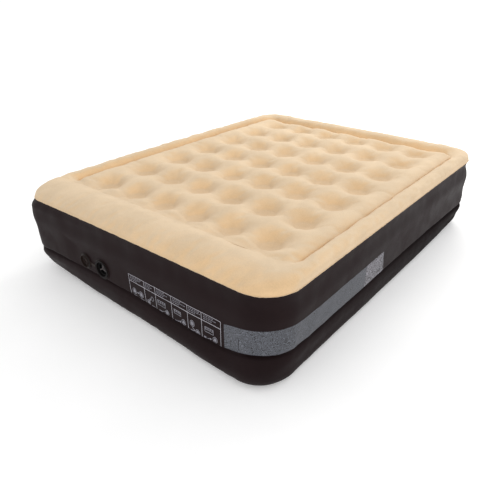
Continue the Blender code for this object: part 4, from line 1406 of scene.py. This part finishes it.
# insert: threaded ring with three spokes and a hub
parts = [
    turned(fillet([(0.0288, -0.0138), (0.0316, -0.0138), (0.0316, -0.0062),
                   (0.0342, -0.0058), (0.0342, -0.0025), (0.0334, -0.0015),
                   (0.0300, -0.0015), (0.0296, -0.0026), (0.0288, -0.0030)], 0.0004), 120),
    turned(fillet([(0.0028, -0.0140), (0.0084, -0.0140), (0.0084, -0.0048),
                   (0.0076, -0.0040), (0.0060, -0.0040), (0.0054, -0.0048),
                   (0.0054, -0.0108), (0.0028, -0.0112)], 0.0004), 48)]
for k in range(3):
    points, faces = box_bar(x=(0.0062, 0.0300), half_width=0.0024, z=(-0.01370, -0.00360),
                            rounding=0.0009, taper=1.45)
    parts.append((spun(points, math.pi / 2 + k * TAU / 3), faces))
fit(fused("valve_insert_guard", parts, guard_plastic), "valve_insert",
    "insert")


def o_ring(name, replaces, major, minor, z, ride, x=PORT_X):
    section = [(major + minor * math.cos(-k * TAU / 16), z + minor * math.sin(-k * TAU / 16))
               for k in range(16)]
    turned_piece(name, section, 96, rubber, 60, replaces, ride, x)


o_ring("insert_seal", "insert_o_ring", major=0.0332, minor=0.0012, z=-0.0095, ride="insert")
o_ring("cap_seal", "cap_o_ring", major=0.0330, minor=0.0011, z=0.0070, ride="cap", x=CAP_X)

turned_piece("flap_disc_soft", [
    (0.0027, -0.0145), (0.0080, -0.0146), (0.0160, -0.0149), (0.0240, -0.0148),
    (0.0290, -0.0146), (0.0303, -0.0146), (0.0307, -0.0153), (0.0303, -0.0160),
    (0.0240, -0.0161), (0.0160, -0.0163), (0.0080, -0.0165), (0.0027, -0.0165)],
    96, rubber, 50, "flap_disc", "flap")
turned_piece("flap_stem_button", fillet([
    (0.0, -0.0034), (0.0026, -0.0034), (0.0044, -0.0042), (0.0044, -0.0049),
    (0.0022, -0.0052), (0.0022, -0.0166), (0.0058, -0.0170),
    (0.0050, -0.0186), (0.0, -0.0190)], 0.0004),
    48, rubber, 50, "flap_stem", "flap")

# tether loop round the neck, with a short tongue towards the cap
TETHER_Z = (0.0023, 0.0037)
parts = [turned(fillet([(0.0458, TETHER_Z[0]), (0.0490, TETHER_Z[0]),
                        (0.0490, TETHER_Z[1]), (0.0458, TETHER_Z[1])], 0.0005), 120),
         box_bar(x=(-0.0530, -0.0470), half_width=0.0064, z=TETHER_Z, rounding=0.0005,
                 taper=1.08)]
fit(fused("tether_ring", parts, cap_plastic), "tether_loop", "valve")

# strap: thin at its middle, where it folds
STEPS, SIDES = 64, 12
start, end = -0.0524, CAP_X - PORT_X + 0.0388
points = []
for i in range(STEPS + 1):
    x = start + (end - start) * (i / STEPS)
    away = abs(x - (HINGE_X - PORT_X))
    half = 0.0064 - 0.0012 * math.exp(-(away / 0.0035) ** 2)
    thick = 0.0007 - 0.00032 * math.exp(-(away / 0.0030) ** 2)
    for k in range(SIDES):
        angle = TAU * (k + 0.5) / SIDES
        cos, sin = math.cos(angle), math.sin(angle)
        points.append((x, half * math.copysign(abs(cos) ** 0.35, cos),
                       0.0030 + thick * math.copysign(abs(sin) ** 0.45, sin)))
faces = grid_quads(STEPS + 1, SIDES, wrap_cols=True).tolist()
faces += [range(SIDES), reversed(range(STEPS * SIDES, (STEPS + 1) * SIDES))]
strap = fit(build("cap_strap", out_of_wall(points), faces, cap_plastic, 45),
            "cap_tether", None)
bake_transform(strap)


# cap: disc with a rolled rim, a threaded plug and a ribbed inside, and a pull tab
def cap_grip(angle, radius, z):
    return flutes(angle, 48, 0.0004) if radius > 0.0378 else 0.0


parts = [
    turned(fillet([(0.0, 0.0012), (0.0300, 0.0012), (0.0340, 0.0010), (0.0372, 0.0010),
                   (0.0382, 0.0016), (0.0385, 0.0024), (0.0384, 0.0032), (0.0374, 0.0040),
                   (0.0315, 0.0040), (0.0315, 0.0056), (0.0318, 0.0060), (0.0315, 0.0082),
                   (0.0318, 0.0086), (0.0315, 0.0105), (0.0308, 0.0115), (0.0294, 0.0115),
                   (0.0288, 0.0108), (0.0288, 0.0030), (0.0270, 0.0022), (0.0, 0.0022)],
                  0.0004, 2), 192, cap_grip),
    turned(fillet([(0.0105, 0.0018), (0.0125, 0.0018), (0.0123, 0.0052),
                   (0.0107, 0.0052)], 0.0003, 2), 64)]
for k in range(6):
    points, faces = box_bar(x=(0.0115, 0.0292), half_width=0.0007, z=(0.0018, 0.0046),
                            rounding=0.0003, steps=4)
    parts.append((spun(points, k * TAU / 6), faces))
points, faces = turned(fillet([(0.0, 0.0013), (0.0085, 0.0013), (0.0085, 0.0036),
                               (0.0, 0.0036)], 0.0007), 48)
parts.append((points * np.array([1.0, 1.35, 1.0]) + np.array([-0.0395, 0, 0]), faces))
for k in range(3):
    points, faces = box_bar(x=(-0.0055, 0.0055), half_width=0.0005, z=(0.0032, 0.0042),
                            rounding=0.0003, steps=4)
    shift = np.array([-0.0425 - 0.0018 * k + 0.0006, 0, 0])
    parts.append((spun(points, math.pi / 2) + shift, faces))
fit(fused("valve_cap_open", parts, cap_plastic, CAP_X), "valve_cap", "cap")


# ---------------------------------------------------- floor, lights and camera
def floor_material():
    net = Nodes("pale_floor")
    place = net.node("ShaderNodeTexCoord").outputs["Object"]
    soft = net.noise(place, scale=3.0, detail=3.0)
    return net.done(net.mix(net.ramp(soft, (0.3, 0.7)), (0.90, 0.90, 0.90), (0.92, 0.92, 0.92)),
                    0.85, specular_ior_level=0.1, emission_color=(1, 1, 1),
                    emission_strength=0.24)


FLOOR_HALF, FLOOR_Z = 90.0, -0.0006
ends = (-FLOOR_HALF, FLOOR_HALF)
build("floor", [(x, y, FLOOR_Z) for x in ends for y in ends], [(0, 2, 3, 1)],
               floor_material(), 50)

scene = bpy.context.scene
world = bpy.data.worlds.new("studio")
scene.world = world
world.use_nodes = True
background = world.node_tree.nodes["Background"].inputs
background["Color"].default_value = (1.0, 1.0, 1.0, 1)
background["Strength"].default_value = 0.90


def area(name, place, aim, size, power, colour=(1, 1, 1)):
    data = bpy.data.lights.new(name, "AREA")
    data.shape = "RECTANGLE"
    data.size, data.size_y = size
    data.energy, data.color = power, colour
    ob = bpy.data.objects.new(name, data)
    ob.location = place
    ob.rotation_mode = "QUATERNION"
    ob.rotation_quaternion = (Vector(aim) - Vector(place)).to_track_quat("-Z", "Y")
    scene.collection.objects.link(ob)


area("key_softbox", place=(-0.3, 3.3, 2.5), aim=(0, 0.1, 0.3), size=(2.0, 1.2), power=62,
     colour=(1.0, 0.985, 0.96))
area("side_softbox", place=(3.6, 0.4, 1.6), aim=(0.2, 0, 0.3), size=(1.8, 1.8), power=9)

scene.view_settings.view_transform = "Standard"
scene.view_settings.look = "None"
scene.view_settings.exposure = 0.0

lens = bpy.data.cameras.new("studio_camera")
lens.sensor_fit, lens.sensor_width = "HORIZONTAL", 36.0
lens.lens = 35.0316
lens.clip_start, lens.clip_end = 0.05, 400
camera = bpy.data.objects.new("studio_camera", lens)
scene.collection.objects.link(camera)
# turned left from +Y by the heading, down by the dip, and rolled a little
heading, dip, roll = math.radians(39.142), math.radians(28.782), 0.00117682
ahead = Vector((-math.sin(heading) * math.cos(dip), math.cos(heading) * math.cos(dip),
                -math.sin(dip)))
level = Vector((math.cos(heading), math.sin(heading), 0))
upright = level.cross(ahead)
right = math.cos(roll) * level + math.sin(roll) * upright
up = -math.sin(roll) * level + math.cos(roll) * upright
turn = Matrix((right, up, -ahead)).transposed().to_4x4()
camera.matrix_world = Matrix.Translation((1.5227, -2.0569, 1.3285)) @ turn
scene.camera = camera

bpy.context.view_layer.update()
